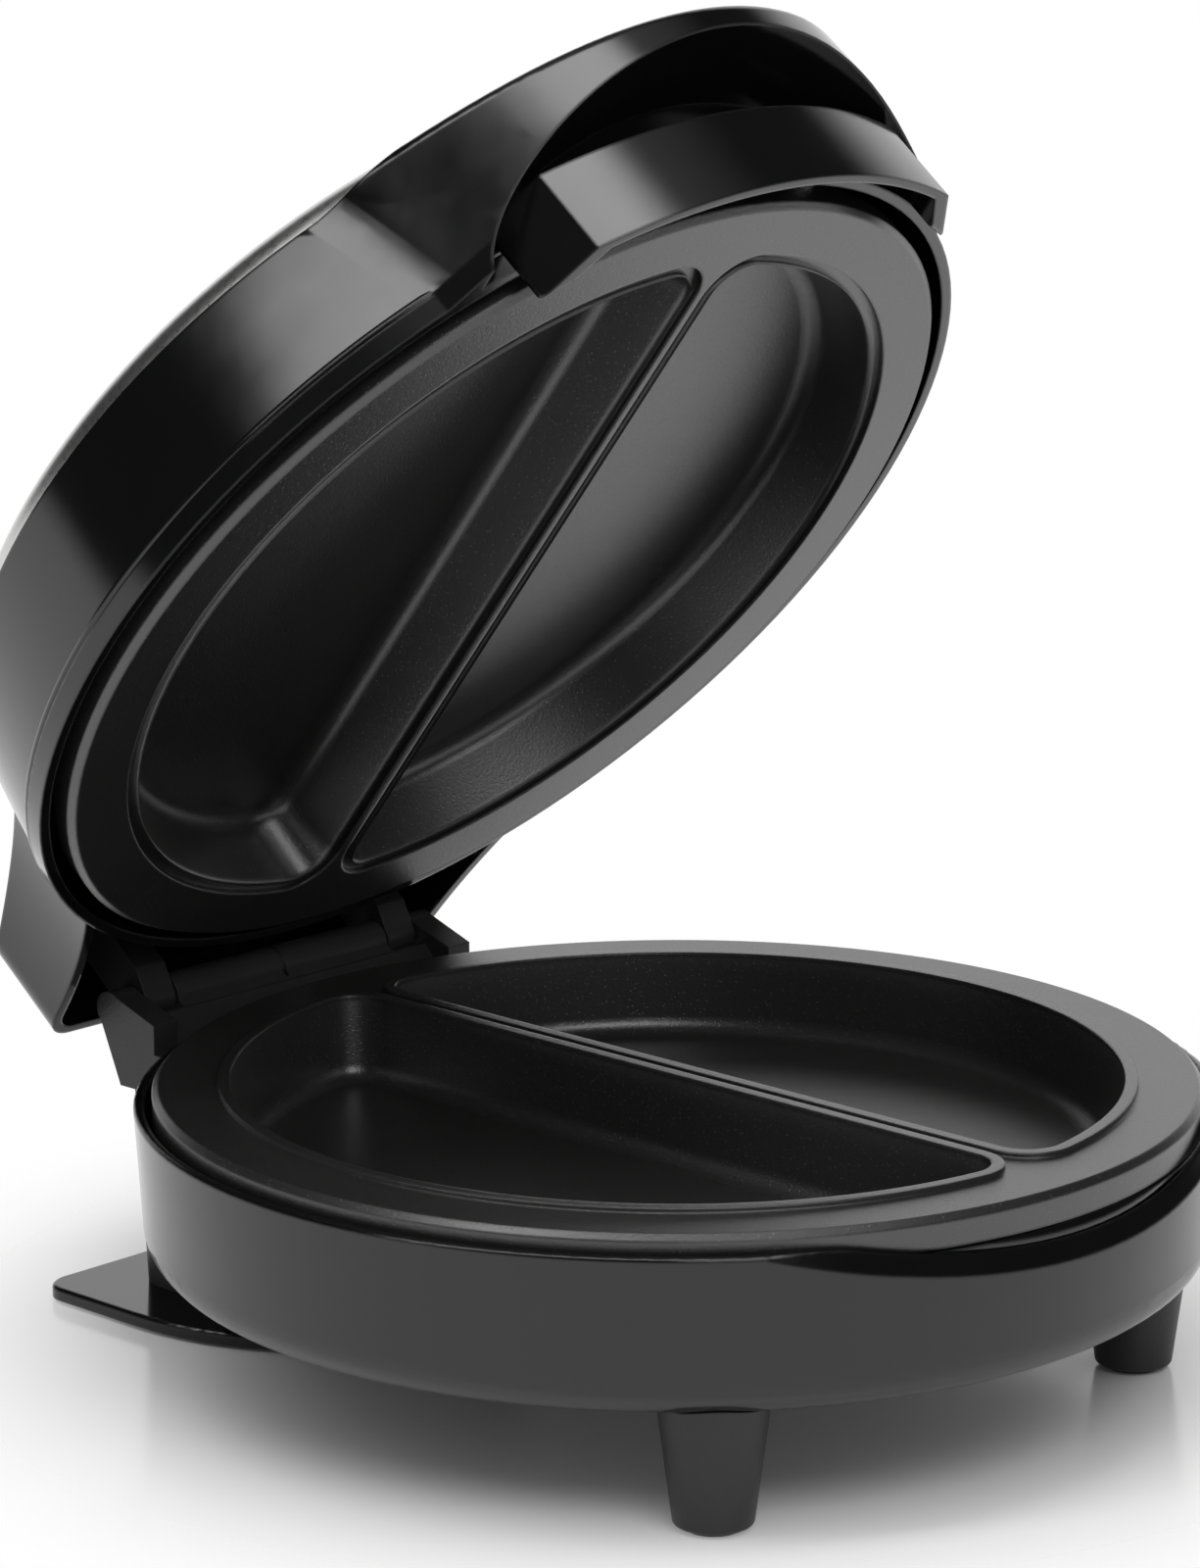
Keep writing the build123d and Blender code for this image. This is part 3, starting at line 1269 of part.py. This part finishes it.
holder_l = 2 * lamp_x + 3 * lens_r
holder_w = 4 * lamp_r + 2
holder_z = lens_top_z - lens_l - holder_air
lamp_z = holder_z - holder_t - lamp_r / 2
with BuildPart() as lamp_holder:
    with BuildSketch(Plane.XY.offset(holder_z)):
        with Locations((0, lamp_y)):
            RectangleRounded(holder_l, holder_w, 1.5)
    extrude(amount=-holder_t)
    with BuildSketch(Plane.XY.offset(holder_z - holder_t)):
        with Locations((0, lamp_y)):
            Circle(lens_r)
    extrude(amount=lens_top_z - lens_proud - crown_drop - lid_skin - holder_z + holder_t - 0.1)
    with BuildSketch(Plane.XZ.offset(-lamp_y)):
        with Locations((-lamp_x, lamp_z), (lamp_x, lamp_z)):
            Circle(lamp_r + 0.05)
    extrude(amount=holder_w, both=True, mode=Mode.SUBTRACT)
lamp_holder.part.label = "lamp_holder"

with BuildPart() as neon_lamps:
    with BuildSketch(Plane.XZ.offset(-lamp_y)):
        with Locations((-lamp_x, lamp_z), (lamp_x, lamp_z)):
            Circle(lamp_r)
    extrude(amount=lamp_l / 2, both=True)
    fillet(neon_lamps.edges().filter_by(GeomType.CIRCLE), lamp_r / 2)
neon_lamps.part.label = "neon_lamps"

# ---------------------------------------------------------------- swing the lid and export it
for closed in (
    lid_shell, lid_top_panel, handle_lip, handle_screws, lid_hinge_bracket, bracket_screws,
    upper_plate, upper_heating_element, upper_heat_shield, upper_plate_screws, upper_thermostat,
    lid_wiring, power_lamp_lens, ready_lamp_lens, lamp_holder, neon_lamps,
):
    save(swing_open(closed.part), closed.part.label)
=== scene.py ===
# %% [markdown]
# # An electric omelette maker
#
# A round cooker that bakes two half-moon omelettes between two hot plates.  Its solids come from
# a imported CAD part, the frame.  Blender gives them their finishes, adds one fine bead and sets
# them in a small studio.  Everything is in metres: +Z is up, the handle is towards -Y and the
# hinge is at the back.

import json
from math import cos, degrees, pi, radians, sin

import bmesh
import bpy
from mathutils import Matrix, Vector


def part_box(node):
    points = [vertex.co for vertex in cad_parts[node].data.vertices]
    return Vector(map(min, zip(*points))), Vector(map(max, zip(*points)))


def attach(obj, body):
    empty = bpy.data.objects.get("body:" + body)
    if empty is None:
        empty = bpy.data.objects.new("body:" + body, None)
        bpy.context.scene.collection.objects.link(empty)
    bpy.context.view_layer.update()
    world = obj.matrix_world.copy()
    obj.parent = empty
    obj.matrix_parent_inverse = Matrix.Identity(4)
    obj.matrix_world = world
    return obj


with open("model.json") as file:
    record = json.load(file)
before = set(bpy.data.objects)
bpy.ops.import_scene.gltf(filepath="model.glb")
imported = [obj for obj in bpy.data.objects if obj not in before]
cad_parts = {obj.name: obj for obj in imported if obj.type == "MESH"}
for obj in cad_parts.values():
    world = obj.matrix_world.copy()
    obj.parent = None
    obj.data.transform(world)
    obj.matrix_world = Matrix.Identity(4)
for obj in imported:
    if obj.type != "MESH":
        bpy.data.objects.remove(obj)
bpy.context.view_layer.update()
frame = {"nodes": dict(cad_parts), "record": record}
nodes = frame["nodes"]

# %% [markdown]
# ## A small language for materials
#
# A material in Blender is a graph of nodes.  The nodes could be placed and linked one by one, but
# the maths in them is then hard to read.  Here a `Wire` holds one socket, and adding or
# multiplying wires adds the Math node that does it, so a finish reads like a formula.

# %% Wires


class Wire:
    """One output socket, with the arithmetic that a finish needs."""

    def __init__(self, graph, socket):
        self.graph = graph
        self.socket = socket

    def _math(self, operation, *values):
        return self.graph.node("ShaderNodeMath", {"operation": operation}, values)

    def __add__(self, other):
        return self._math("ADD", self, other)

    __radd__ = __add__

    def __mul__(self, other):
        return self._math("MULTIPLY", self, other)

    __rmul__ = __mul__

    def __sub__(self, other):
        return self._math("SUBTRACT", self, other)

    def __rsub__(self, other):
        return self._math("SUBTRACT", other, self)

    def larger(self, other):
        """The larger of two values."""
        return self._math("MAXIMUM", self, other)

    def smooth(self, low, high):
        """0 below `low`, 1 above `high`, and a soft step between them."""
        return self.graph.node(
            "ShaderNodeMapRange", {"interpolation_type": "SMOOTHSTEP"},
            {"Value": self, "From Min": low, "From Max": high},
        )


print("a wire adds, multiplies, subtracts, takes the larger value and makes a soft step")

# %% [markdown]
# A `Graph` holds the nodes of a material, a lamp or the world.  Each kind of node could have a
# helper of its own, but one method, `node`, can add them all.  The settings come first, because
# they can change which sockets a node has.

# %% Graphs


class Graph:
    """A tree of shader nodes under construction."""

    def __init__(self, tree):
        self.tree = tree

    def feed(self, socket, value):
        """Gives a socket a wire or a constant."""
        if isinstance(value, Wire):
            self.tree.links.new(value.socket, socket)
        else:
            socket.default_value = value

    def node(self, kind, settings=None, inputs=(), out=0):
        """Adds a node: its settings first, then the values or links of its sockets."""
        made = self.tree.nodes.new(kind)
        for key, value in (settings or {}).items():
            setattr(made, key, value)
        pairs = inputs.items() if isinstance(inputs, dict) else enumerate(inputs)
        for key, value in pairs:
            self.feed(made.inputs[key], value)
        return Wire(self, made.outputs[out]) if made.outputs else made


print("a graph adds nodes and feeds their sockets")

# %% [markdown]
# A `Finish` is one material.  Its Principled shader gets its constants straight on its own
# sockets, and only what changes over the surface arrives through a wire.  The textures take a
# size in metres, since a grain is easier to picture by its size than by a frequency.

# %% Finishes


class Finish(Graph):
    """A material under construction: a graph round one Principled shader."""

    def __init__(self, name, **constants):
        self.material = bpy.data.materials.new(name)
        self.material.use_nodes = True
        super().__init__(self.material.node_tree)
        self.shader = self.tree.nodes["Principled BSDF"]
        for label, value in constants.items():
            self.set(label, value)

    def set(self, label, value):
        """Gives one of the shader's sockets a wire or a constant."""
        self.feed(self.shader.inputs[label], value)

    def place(self, x=1.0, y=1.0, z=1.0):
        """The point being shaded, in metres, stretched by x, y and z."""
        point = self.node("ShaderNodeTexCoord", out="Object")
        return self.node("ShaderNodeVectorMath", {"operation": "MULTIPLY"}, [point, (x, y, z)])

    def noise(self, size, detail=3.0, rough=0.5, at=None):
        """Soft random patches about `size` metres across, from 0 to 1."""
        return self.node(
            "ShaderNodeTexNoise", {},
            {"Vector": at or self.place(), "Scale": 1 / size, "Detail": detail, "Roughness": rough},
        )

    def cells(self, size):
        """Distance from the middle of the nearest of many small cells."""
        return self.node("ShaderNodeTexVoronoi", {}, {"Vector": self.place(), "Scale": 1 / size})

    def mix(self, factor, first, second):
        """Blends two colours."""
        return self.node(
            "ShaderNodeMix", {"data_type": "RGBA"}, {0: factor, 6: first, 7: second}, out=2
        )

    def bump(self, height, depth, strength, edge=0.0004):
        """Raises the surface by `height` (0 to 1) times `depth` metres, and softens its edges."""
        rounded = self.node("ShaderNodeBevel", {"samples": 4}, {"Radius": edge})
        normal = self.node(
            "ShaderNodeBump", {},
            {"Strength": strength, "Distance": depth, "Height": height, "Normal": rounded},
        )
        self.set("Normal", normal)


def grey(level, warm=0.0):
    """A linear grey, a little warm or cool."""
    return (level * (1 + warm), level, level * (1 - warm), 1.0)


print("a finish has noise, cells, a mix of colours and bump")

# %% [markdown]
# ## Where things are
#
# The lid is drawn open, and what follows its shape could be placed there by eye.  It is easier to
# say in the lid's own, closed position, where its rings lie flat.  `lid_point` turns a closed
# point about the hinge to where it rests.  The angle and the hinge's place come from the joint
# itself; the lid turns about the X axis.

# %% The lid's own directions
hinge = frame["record"]["behaviour"]["joints"][0]
hinge_at = Vector(hinge["pos_m"])
open_angle = radians(-hinge["range_deg"][0])
swing = Matrix.Rotation(-open_angle, 4, "X")
swing = Matrix.Translation(hinge_at) @ swing @ Matrix.Translation(-hinge_at)


def lid_point(x, y, z):
    """A point of the closed lid, turned to the resting position."""
    return swing @ Vector((x, y, z))


print("lid opened by", round(degrees(open_angle), 1), "degrees about", hinge_at)

# %% [markdown]
# ## Gloss black mouldings
#
# The shells are injection moulded in a hard black plastic and come out of a polished tool.  One
# dark colour with a low roughness would do, but it looks like glass.  A moulded wall is never
# perfectly flat, so it gets a faint, wide ripple, and fine wiping marks make the roughness vary.
# The bump also rounds the edges, so that each one catches a line of light.

# %% Gloss black


def gloss_black(name, level, rough):
    """Polished black plastic with a faint ripple and wiping marks."""
    finish = Finish(name, IOR=1.57)
    wipes = finish.noise(size=0.004, detail=5.0, at=finish.place(z=0.25))
    haze = finish.noise(size=0.03, detail=2.0)
    darker, paler = grey(0.75 * level), grey(1.25 * level, warm=-0.03)
    finish.set("Base Color", finish.mix(haze, darker, paler))
    finish.set("Roughness", rough + 0.05 * wipes + 0.05 * haze)
    ripple = finish.noise(size=0.012, detail=1.0)
    finish.bump(ripple, depth=0.00003, strength=0.35, edge=0.0008)
    return finish.material


gloss = gloss_black("polished_black_plastic", level=0.004, rough=0.07)
print("made", gloss.name)

# %% [markdown]
# ## Satin black mouldings
#
# The feet and the hinge stand come out of a spark-textured tool.  Their grain is a fine leather of
# small pits that scatters the light into a soft sheen.  Roughness alone gives the sheen but not
# the grain, so a cell texture draws the pits in the bump.

# %% Satin black


def satin_black(name, level, rough):
    """Textured black plastic: small pits and a soft sheen."""
    finish = Finish(name, IOR=1.48)
    pits = finish.cells(size=0.0007)
    patches = finish.noise(size=0.02)
    finish.set("Base Color", finish.mix(patches, grey(0.8 * level), grey(1.2 * level)))
    finish.set("Roughness", rough + 0.1 * patches)
    finish.bump(pits, depth=0.00006, strength=0.5)
    return finish.material


satin = satin_black("textured_black_plastic", level=0.016, rough=0.36)
print("made", satin.name)

# %% [markdown]
# ## Non-stick cast aluminium
#
# The plates are cast, then sprayed with a dark fluoropolymer coat that holds fine mineral flakes.
# The flakes could be a metal under a clear coat.  A dark skin with a high index of refraction is
# simpler, and it also mirrors more than plain plastic does.  Up close the coat is a grey-black
# with a fine grain and paler specks.

# %% Cast plates


def nonstick(name, level, rough):
    """Sprayed non-stick coat: fine grain, pale specks, a soft highlight."""
    finish = Finish(name, IOR=1.9)
    grain = finish.noise(size=0.0006, detail=4.0, rough=0.65)
    specks = 1 - finish.cells(size=0.0011).smooth(0.10, 0.24)
    clouds = finish.noise(size=0.035, detail=2.0)
    darker, paler = grey(0.8 * level, warm=0.02), grey(1.15 * level, warm=0.02)
    coat = finish.mix(clouds, darker, paler)
    finish.set("Base Color", finish.mix(0.45 * specks, coat, grey(5 * level)))
    finish.set("Roughness", rough + 0.12 * grain + 0.05 * clouds)
    finish.bump(grain + 0.4 * specks, depth=0.00007, strength=0.7, edge=0.0008)
    return finish.material


cast = nonstick("nonstick_cast_plate", level=0.013, rough=0.22)
print("made", cast.name)

# %% [markdown]
# ## Brushed steel
#
# The lid is topped with a sheet of steel, brushed in one direction from side to side.  The lines
# could be a picture, but noise that is stretched very long one way gives the same look at any
# size.  It moves the roughness and the bump as well as the colour, so the lines glint as the
# light passes over them.  The screws, the pins and the heater's sheath are drawn metal with the
# same kind of lines, so they share it at other levels.

# %% Steel top
brush_across = 900.0
brush_along = 12.0


def brushed_steel(name, level, rough, long_way="x"):
    """Steel with long fine brush lines."""
    finish = Finish(name, Metallic=1.0)
    stretch = {"x": brush_across, "y": brush_across, "z": brush_across}
    stretch[long_way] = brush_along
    lines = finish.noise(size=1.0, detail=4.0, rough=0.7, at=finish.place(**stretch))
    darker, paler = grey(0.8 * level), grey(1.1 * level, warm=0.01)
    finish.set("Base Color", finish.mix(lines, darker, paler))
    finish.set("Roughness", rough + 0.14 * lines)
    finish.bump(lines, depth=0.00001, strength=0.5)
    return finish.material


steel = brushed_steel("brushed_steel_top", level=0.72, rough=0.22)
zinc = brushed_steel("zinc_plated_steel", level=0.5, rough=0.3, long_way="z")
sheath = brushed_steel("heat_tinted_sheath", level=0.16, rough=0.42, long_way="y")
print("made", steel.name, zinc.name, sheath.name)

# %% [markdown]
# ## Rolled sheet
#
# A heat shield of thin aluminium lies behind each plate.  It is shut inside, and any grey metal
# would do, but each piece still gets what it is made of.  Mill rolls leave faint straight lines,
# so the noise is stretched here too, though less than for brushing.

# %% Heat shields
roll_across = 700.0
roll_along = 30.0


def rolled_sheet(name):
    """Bright rolled aluminium with faint rolling lines."""
    finish = Finish(name, Metallic=1.0)
    stretched = finish.place(x=roll_along, y=roll_across, z=roll_across)
    lines = finish.noise(size=1.0, detail=3.0, at=stretched)
    finish.set("Base Color", finish.mix(lines, grey(0.6), grey(0.78)))
    finish.set("Roughness", 0.28 + 0.12 * lines)
    finish.bump(lines, depth=0.000008, strength=0.4)
    return finish.material


shield = rolled_sheet("rolled_aluminium")
print("made", shield.name)

# %% [markdown]
# ## Heat-proof mouldings
#
# The terminal block, the lamp holder and the bodies of the thermostats are pressed from a pale
# mineral compound that stands the heat.  A plain matt white would look like paper, so a fine
# grain darkens it in places and roughens its skin.

# %% Blocks
mineral_white = (0.82, 0.8, 0.74, 1.0)


def chalky(name, shade):
    """A matt heat-proof moulding with a fine, uneven skin."""
    finish = Finish(name)
    grain = finish.noise(size=0.0015, detail=4.0)
    darker = tuple(0.82 * part for part in shade[:3]) + (1.0,)
    finish.set("Base Color", finish.mix(grain, darker, shade))
    finish.set("Roughness", 0.6 + 0.2 * grain)
    finish.bump(grain, depth=0.00004, strength=0.5)
    return finish.material


ceramic = chalky("heatproof_moulding", mineral_white)
print("made", ceramic.name)

# %% [markdown]
# ## Rubber
#
# Soft pads keep the feet from sliding, and a rubber gland lines the inlet.  Rubber could be a very
# rough black, but what tells it from plastic is the dust that it holds, so slow patches of a
# paler grey lie over a fine grain.

# %% Pads and gland


def rubber(name, level):
    """Matt moulded rubber, a little dusty."""
    finish = Finish(name)
    grain = finish.noise(size=0.0008, detail=3.0)
    dust = finish.noise(size=0.01)
    finish.set("Base Color", finish.mix(dust, grey(level), grey(1.8 * level)))
    finish.set("Roughness", 0.75 + 0.15 * grain)
    finish.bump(grain, depth=0.00005, strength=0.4)
    return finish.material


pad_rubber = rubber("pad_rubber", level=0.02)
print("made", pad_rubber.name)

# %% [markdown]
# ## Woven sleeve
#
# The wires run in a glass-fibre sleeve.  Its strands could be modelled, but they are finer than a
# hair.  Two sets of diagonal waves that cross, one the mirror of the other, give the weave to the
# colour, the roughness and the bump at once.

# %% Sleeve
strand_scale = 420.0
strand_dark = (0.42, 0.39, 0.33, 1.0)
strand_pale = (0.78, 0.75, 0.68, 1.0)


def strands(finish, side):
    """One set of diagonal strands; a `side` of -1 gives the mirror image of 1."""
    return finish.node(
        "ShaderNodeTexWave", {"bands_direction": "DIAGONAL"},
        {"Vector": finish.place(x=side), "Scale": strand_scale}, out=1,
    )


def woven_sleeve(name):
    """Glass-fibre sleeving: two sets of strands that cross."""
    finish = Finish(name)
    weave = strands(finish, 1.0) * strands(finish, -1.0)
    finish.set("Base Color", finish.mix(weave, strand_dark, strand_pale))
    finish.set("Roughness", 0.62 + 0.2 * weave)
    finish.bump(weave, depth=0.00012, strength=0.6)
    return finish.material


sleeve = woven_sleeve("woven_sleeve")
print("made", sleeve.name)

# %% [markdown]
# ## Lamp lenses
#
# The two lenses are clear plastic, tinted in the mass, over neon lamps that are off.  They could
# be real glass, but with no light behind it a lens shows little more than its tint.  An opaque
# tint under a smooth skin looks the same and renders cleanly.  The small cells are the prisms
# that are pressed into its back.

# %% Lenses


def tinted_lens(name, deep, pale):
    """A small tinted lens with a fine pattern of prisms."""
    finish = Finish(name, IOR=1.49)
    prisms = finish.cells(size=0.0009)
    finish.set("Base Color", finish.mix(prisms, deep, pale))
    finish.set("Roughness", 0.08 + 0.1 * prisms)
    finish.bump(prisms, depth=0.00008, strength=0.4)
    return finish.material


lens_red = tinted_lens("lens_red", (0.28, 0.008, 0.005, 1.0), (0.62, 0.05, 0.03, 1.0))
lens_green = tinted_lens("lens_green", (0.008, 0.16, 0.03, 1.0), (0.05, 0.42, 0.12, 1.0))
lamp_glass = tinted_lens("lamp_glass", (0.45, 0.4, 0.36, 1.0), (0.7, 0.66, 0.6, 1.0))
print("made", lens_red.name, lens_green.name, lamp_glass.name)

# %% [markdown]
# ## Dress the solids
#
# Each solid of the frame names a material slot in the record.  The finishes could be given one by
# one, but one table from slot to finish dresses them all and can't forget a piece.  Faces that
# meet at a shallow angle are shaded smooth, so curved walls show no facets.

# %% Slots to finishes
finishes = {
    "gloss_black": gloss,
    "satin_black": satin,
    "nonstick_cast": cast,
    "brushed_steel": steel,
    "zinc_steel": zinc,
    "element_sheath": sheath,
    "shield_sheet": shield,
    "heatproof_white": ceramic,
    "pad_rubber": pad_rubber,
    "wire_sleeve": sleeve,
    "lens_red": lens_red,
    "lens_green": lens_green,
    "lamp_glass": lamp_glass,
}
crease_angle = radians(28)
for part in frame["record"]["subparts"]:
    solid = nodes[part["node"]]
    solid.data.materials.clear()
    solid.data.materials.append(finishes[part["material_slot"]])
    solid.data.shade_smooth()
    solid.data.set_sharp_from_angle(angle=crease_angle)

# %% [markdown]
# ## The middle of the steel top
#
# The steel top is a shallow dome, made of two halves whose faces run to a point in the middle.
# Shading blended across that point would show as a smudge.  The faces could be cut again, but
# it is enough to shade the narrow ones round the point flat: they tilt by a quarter of a degree
# only.  Their points stay where they are.

# %% Flat faces in the dome
round_body_y = -0.0177
dome_top_height = 0.0999
dome_flat_r = 0.0182
dome_top = lid_point(0, round_body_y, dome_top_height)
panel = nodes["lid_top_panel"].data
if "custom_normal" in panel.attributes:
    panel.attributes.remove(panel.attributes["custom_normal"])
flat = [face for face in panel.polygons if (face.center - dome_top).length < dome_flat_r]
for face in flat:
    face.use_smooth = False
print("flat faces in the middle of the dome", len(flat))

# %% [markdown]
# ## The bead round the lid's rim
#
# A fine round bead runs above the plain band at the lid's lower edge and catches the light all the
# way round.  A curve with a bevel would do, but here the ring is built point by point, because
# each point can then be drawn for the closed lid and turned with it.  The bead stands no further
# out than the band below it.

# %% Rim bead
bead_r = 0.0012
bead_height = 0.0643
bead_sides = 14
bead_steps = 240
bead_ring_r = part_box("lid_shell")[1][0] - bead_r
bead_mesh = bpy.data.meshes.new("lid_rim_bead")
ring = bmesh.new()
for step in range(bead_steps):
    turn = 2 * pi * step / bead_steps
    for side in range(bead_sides):
        tilt = 2 * pi * side / bead_sides
        reach = bead_ring_r + bead_r * cos(tilt)
        across = reach * sin(turn)
        along = round_body_y - reach * cos(turn)
        ring.verts.new(lid_point(across, along, bead_height + bead_r * sin(tilt)))
ring.verts.ensure_lookup_table()
print("rim bead, points", len(ring.verts))

# %% [markdown]
# Neighbouring points are joined by faces.  The bead then rides the lid, so that it swings with
# it, and takes the slot of the shell that it belongs to.

# %% Faces of the bead
for step in range(bead_steps):
    here = step * bead_sides
    there = (step + 1) % bead_steps * bead_sides
    for side in range(bead_sides):
        after = (side + 1) % bead_sides
        corners = (here + side, there + side, there + after, here + after)
        ring.faces.new([ring.verts[corner] for corner in corners])
bmesh.ops.recalc_face_normals(ring, faces=ring.faces)
ring.to_mesh(bead_mesh)
ring.free()
rim_bead = bpy.data.objects.new("lid_rim_bead", bead_mesh)
bpy.context.scene.collection.objects.link(rim_bead)
bead_mesh.shade_smooth()
bead_mesh.materials.append(gloss)
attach(rim_bead, "lid")
print("rim bead, faces", len(bead_mesh.polygons))

# %% [markdown]
# ## The table
#
# The cooker stands on a white table that shines a little, so the feet and the foot plate mirror in
# it.  An endless plane would do, but under a dark ceiling it turns grey in the distance.  Away
# from the cooker this one fades out into the white surroundings, so no edge shows.

# %% Table
table_reach = 0.8
table_middle = (0.02, 0.0, 0.0)
table_fade = (0.09, 0.175)
table_mesh = bpy.data.meshes.new("table_top")
sheet = bmesh.new()
bmesh.ops.create_grid(sheet, x_segments=1, y_segments=1, size=table_reach)
sheet.to_mesh(table_mesh)
sheet.free()
table = bpy.data.objects.new("table_top", table_mesh)
bpy.context.scene.collection.objects.link(table)
white = Finish("white_table", IOR=1.45)
cloud = white.noise(size=0.4, detail=2.0)
white.set("Base Color", white.mix(cloud, grey(0.83), grey(0.86)))
white.set("Roughness", 0.14 + 0.05 * cloud)
distance = white.node(
    "ShaderNodeVectorMath", {"operation": "DISTANCE"}, [white.place(), table_middle], out=1
)
white.set("Alpha", 1 - distance.smooth(*table_fade))
table_mesh.materials.append(white.material)
print("table reaches", table_reach, "m and fades out between", table_fade, "m")

# %% [markdown]
# ## What the gloss mirrors
#
# Black gloss shows little but what it mirrors.  An even white room would turn it grey, and a black
# one would lose its edges.  So the mirrored room is white up to the horizon and on the wall
# behind the cooker, dark over most of its ceiling and grey right overhead.  Each edge is a soft
# step in the direction that a ray goes.

# %% The mirrored room
horizon_edge = (-0.02, 0.08)
back_wall_way = (0.72, 0.69, 0.0)
back_wall_edge = (0.7, 0.9)
dark_ceiling = 0.02
overhead_gain = 0.35
overhead_edge = (0.75, 0.95)
world = bpy.data.worlds.new("studio")
bpy.context.scene.world = world
world.use_nodes = True
world.node_tree.nodes.clear()
studio = Graph(world.node_tree)
towards = studio.node("ShaderNodeTexCoord", out="Generated")
height = studio.node("ShaderNodeSeparateXYZ", {}, [towards], out="Z")
behind = studio.node(
    "ShaderNodeVectorMath", {"operation": "DOT_PRODUCT"}, [towards, back_wall_way], out=1
)
cove = 1 - height.smooth(*horizon_edge)
back_wall = behind.smooth(*back_wall_edge)
ceiling = dark_ceiling + overhead_gain * height.smooth(*overhead_edge)
mirrored_room = cove.larger(back_wall).larger(ceiling)
print("the ceiling goes from", dark_ceiling, "to", dark_ceiling + overhead_gain, "overhead")

# %% [markdown]
# The camera sees plain white, and reflections and clear parts see the mirrored room.  All other
# light from the world is a weak, even fill, which could be the same room, but then the pale
# background would also be light on the cooker.

# %% World
fill_level = 0.6
camera_ray = studio.node("ShaderNodeLightPath", out="Is Camera Ray")
glossy_ray = studio.node("ShaderNodeLightPath", out="Is Glossy Ray")
clear_ray = studio.node("ShaderNodeLightPath", out="Is Transmission Ray")
backdrop_colour = camera_ray.larger(mirrored_room)
backdrop = studio.node("ShaderNodeBackground", {}, {"Color": backdrop_colour, "Strength": 1.0})
fill = studio.node("ShaderNodeBackground", {}, {"Color": grey(1.0), "Strength": fill_level})
seen = camera_ray.larger(glossy_ray).larger(clear_ray)
either = studio.node("ShaderNodeMixShader", {}, [seen, fill, backdrop])
studio.node("ShaderNodeOutputWorld", {}, {"Surface": either})
print("world fill", fill_level)

# %% [markdown]
# ## Lights
#
# A soft box is a large area lamp, and each one draws a pale band on the mouldings.  Small lamps
# would only make sparks.  Each box is given by how bright its face is, since that is what a
# mirror shows, and the lamp's power follows from its area.

# %% Soft boxes
cooker_middle = Vector((0, 0, 0.12))


def soft_box(name, place, size, face):
    """An area lamp at `place` that looks at the cooker, with a face as bright as `face`."""
    lamp = bpy.data.lights.new(name, "AREA")
    lamp.shape = "RECTANGLE"
    lamp.size, lamp.size_y = size
    lamp.energy = pi * lamp.size * lamp.size_y * face
    box = bpy.data.objects.new(name, lamp)
    away = Vector(place) - cooker_middle
    aim = away.to_track_quat("Z", "Y").to_matrix().to_4x4()
    box.matrix_world = Matrix.Translation(place) @ aim
    bpy.context.scene.collection.objects.link(box)
    return box


def soft_edges(box, ends, sides):
    """Lets the face of a soft box fade towards its ends and sides, as a real one does."""
    box.data.use_nodes = True
    face = Graph(box.data.node_tree)
    point = face.node("ShaderNodeNewGeometry", out="Parametric")
    across = face.node("ShaderNodeSeparateXYZ", {}, [point], out="X")
    along = face.node("ShaderNodeSeparateXYZ", {}, [point], out="Y")
    level = across.smooth(0.0, ends) * (1 - across).smooth(0.0, ends)
    level = level * along.smooth(0.0, sides) * (1 - along).smooth(0.0, sides)
    face.feed(face.tree.nodes["Emission"].inputs["Strength"], level)


print("soft boxes look at", cooker_middle)

# %% [markdown]
# Two boxes light the cooker.  A long narrow one hangs level overhead.  It is turned about the
# vertical, so that the pale band which it draws on the lid's wall and the hood is slanted, and
# its face fades at the edges, because a hard edge would cut that band off.  A smaller one stands
# in front on the left and lights the walls that face forward.

# %% Two lamps
top_box_turn = radians(-27.9)
top_box = soft_box("top_box", place=(-0.85, 0.25, 1.6), size=(3.05, 0.44), face=5.2)
top_box.rotation_euler = (0, 0, top_box_turn)
soft_edges(top_box, ends=0.1, sides=0.3)
soft_box("front_box", place=(-0.5, -1.1, 1.2), size=(0.9, 0.6), face=3.2)
print("lights", len(bpy.data.lights))

# %% [markdown]
# ## Camera
#
# A long lens from the front left, a little above the rims, looks into the open lid.  A short lens
# from close by would also fill the picture, but it would stretch the nearest parts.  The lens and
# the small shift frame the object in a picture that is taller than wide.

# %% Camera
picture_height = 1600
focal_pixels = 5845.2
centre_off = (6.2, 21.8)
camera_place = (-0.7523, -0.71805, 0.35737)
camera_turn = radians(-46.19)
camera_rise = radians(13.18)
camera_roll = radians(-0.21)
camera_data = bpy.data.cameras.new("camera")
camera_data.sensor_fit = "VERTICAL"
camera_data.sensor_height = 24.0
camera_data.lens = focal_pixels / picture_height * camera_data.sensor_height
camera_data.shift_x = centre_off[0] / picture_height
camera_data.shift_y = -centre_off[1] / picture_height
camera_data.clip_start = 0.05
camera = bpy.data.objects.new("camera", camera_data)
back = Vector(
    (sin(camera_turn) * cos(camera_rise), -cos(camera_turn) * cos(camera_rise), sin(camera_rise))
)
right = Vector((cos(camera_turn), sin(camera_turn), 0))
above = back.cross(right)
aim = Matrix((right, above, back)).transposed().to_4x4() @ Matrix.Rotation(camera_roll, 4, "Z")
camera.matrix_world = Matrix.Translation(camera_place) @ aim
bpy.context.scene.collection.objects.link(camera)
bpy.context.scene.camera = camera
print("lens", round(camera_data.lens, 1), "mm")

# %% [markdown]
# ## Colours as written
#
# Blender's usual view transform bends bright colours towards white, which flatters a scene but
# changes its greys.  The standard one shows each colour about as it is written in its finish.

# %% View transform
bpy.context.scene.view_settings.view_transform = "Standard"
print("view transform", bpy.context.scene.view_settings.view_transform)
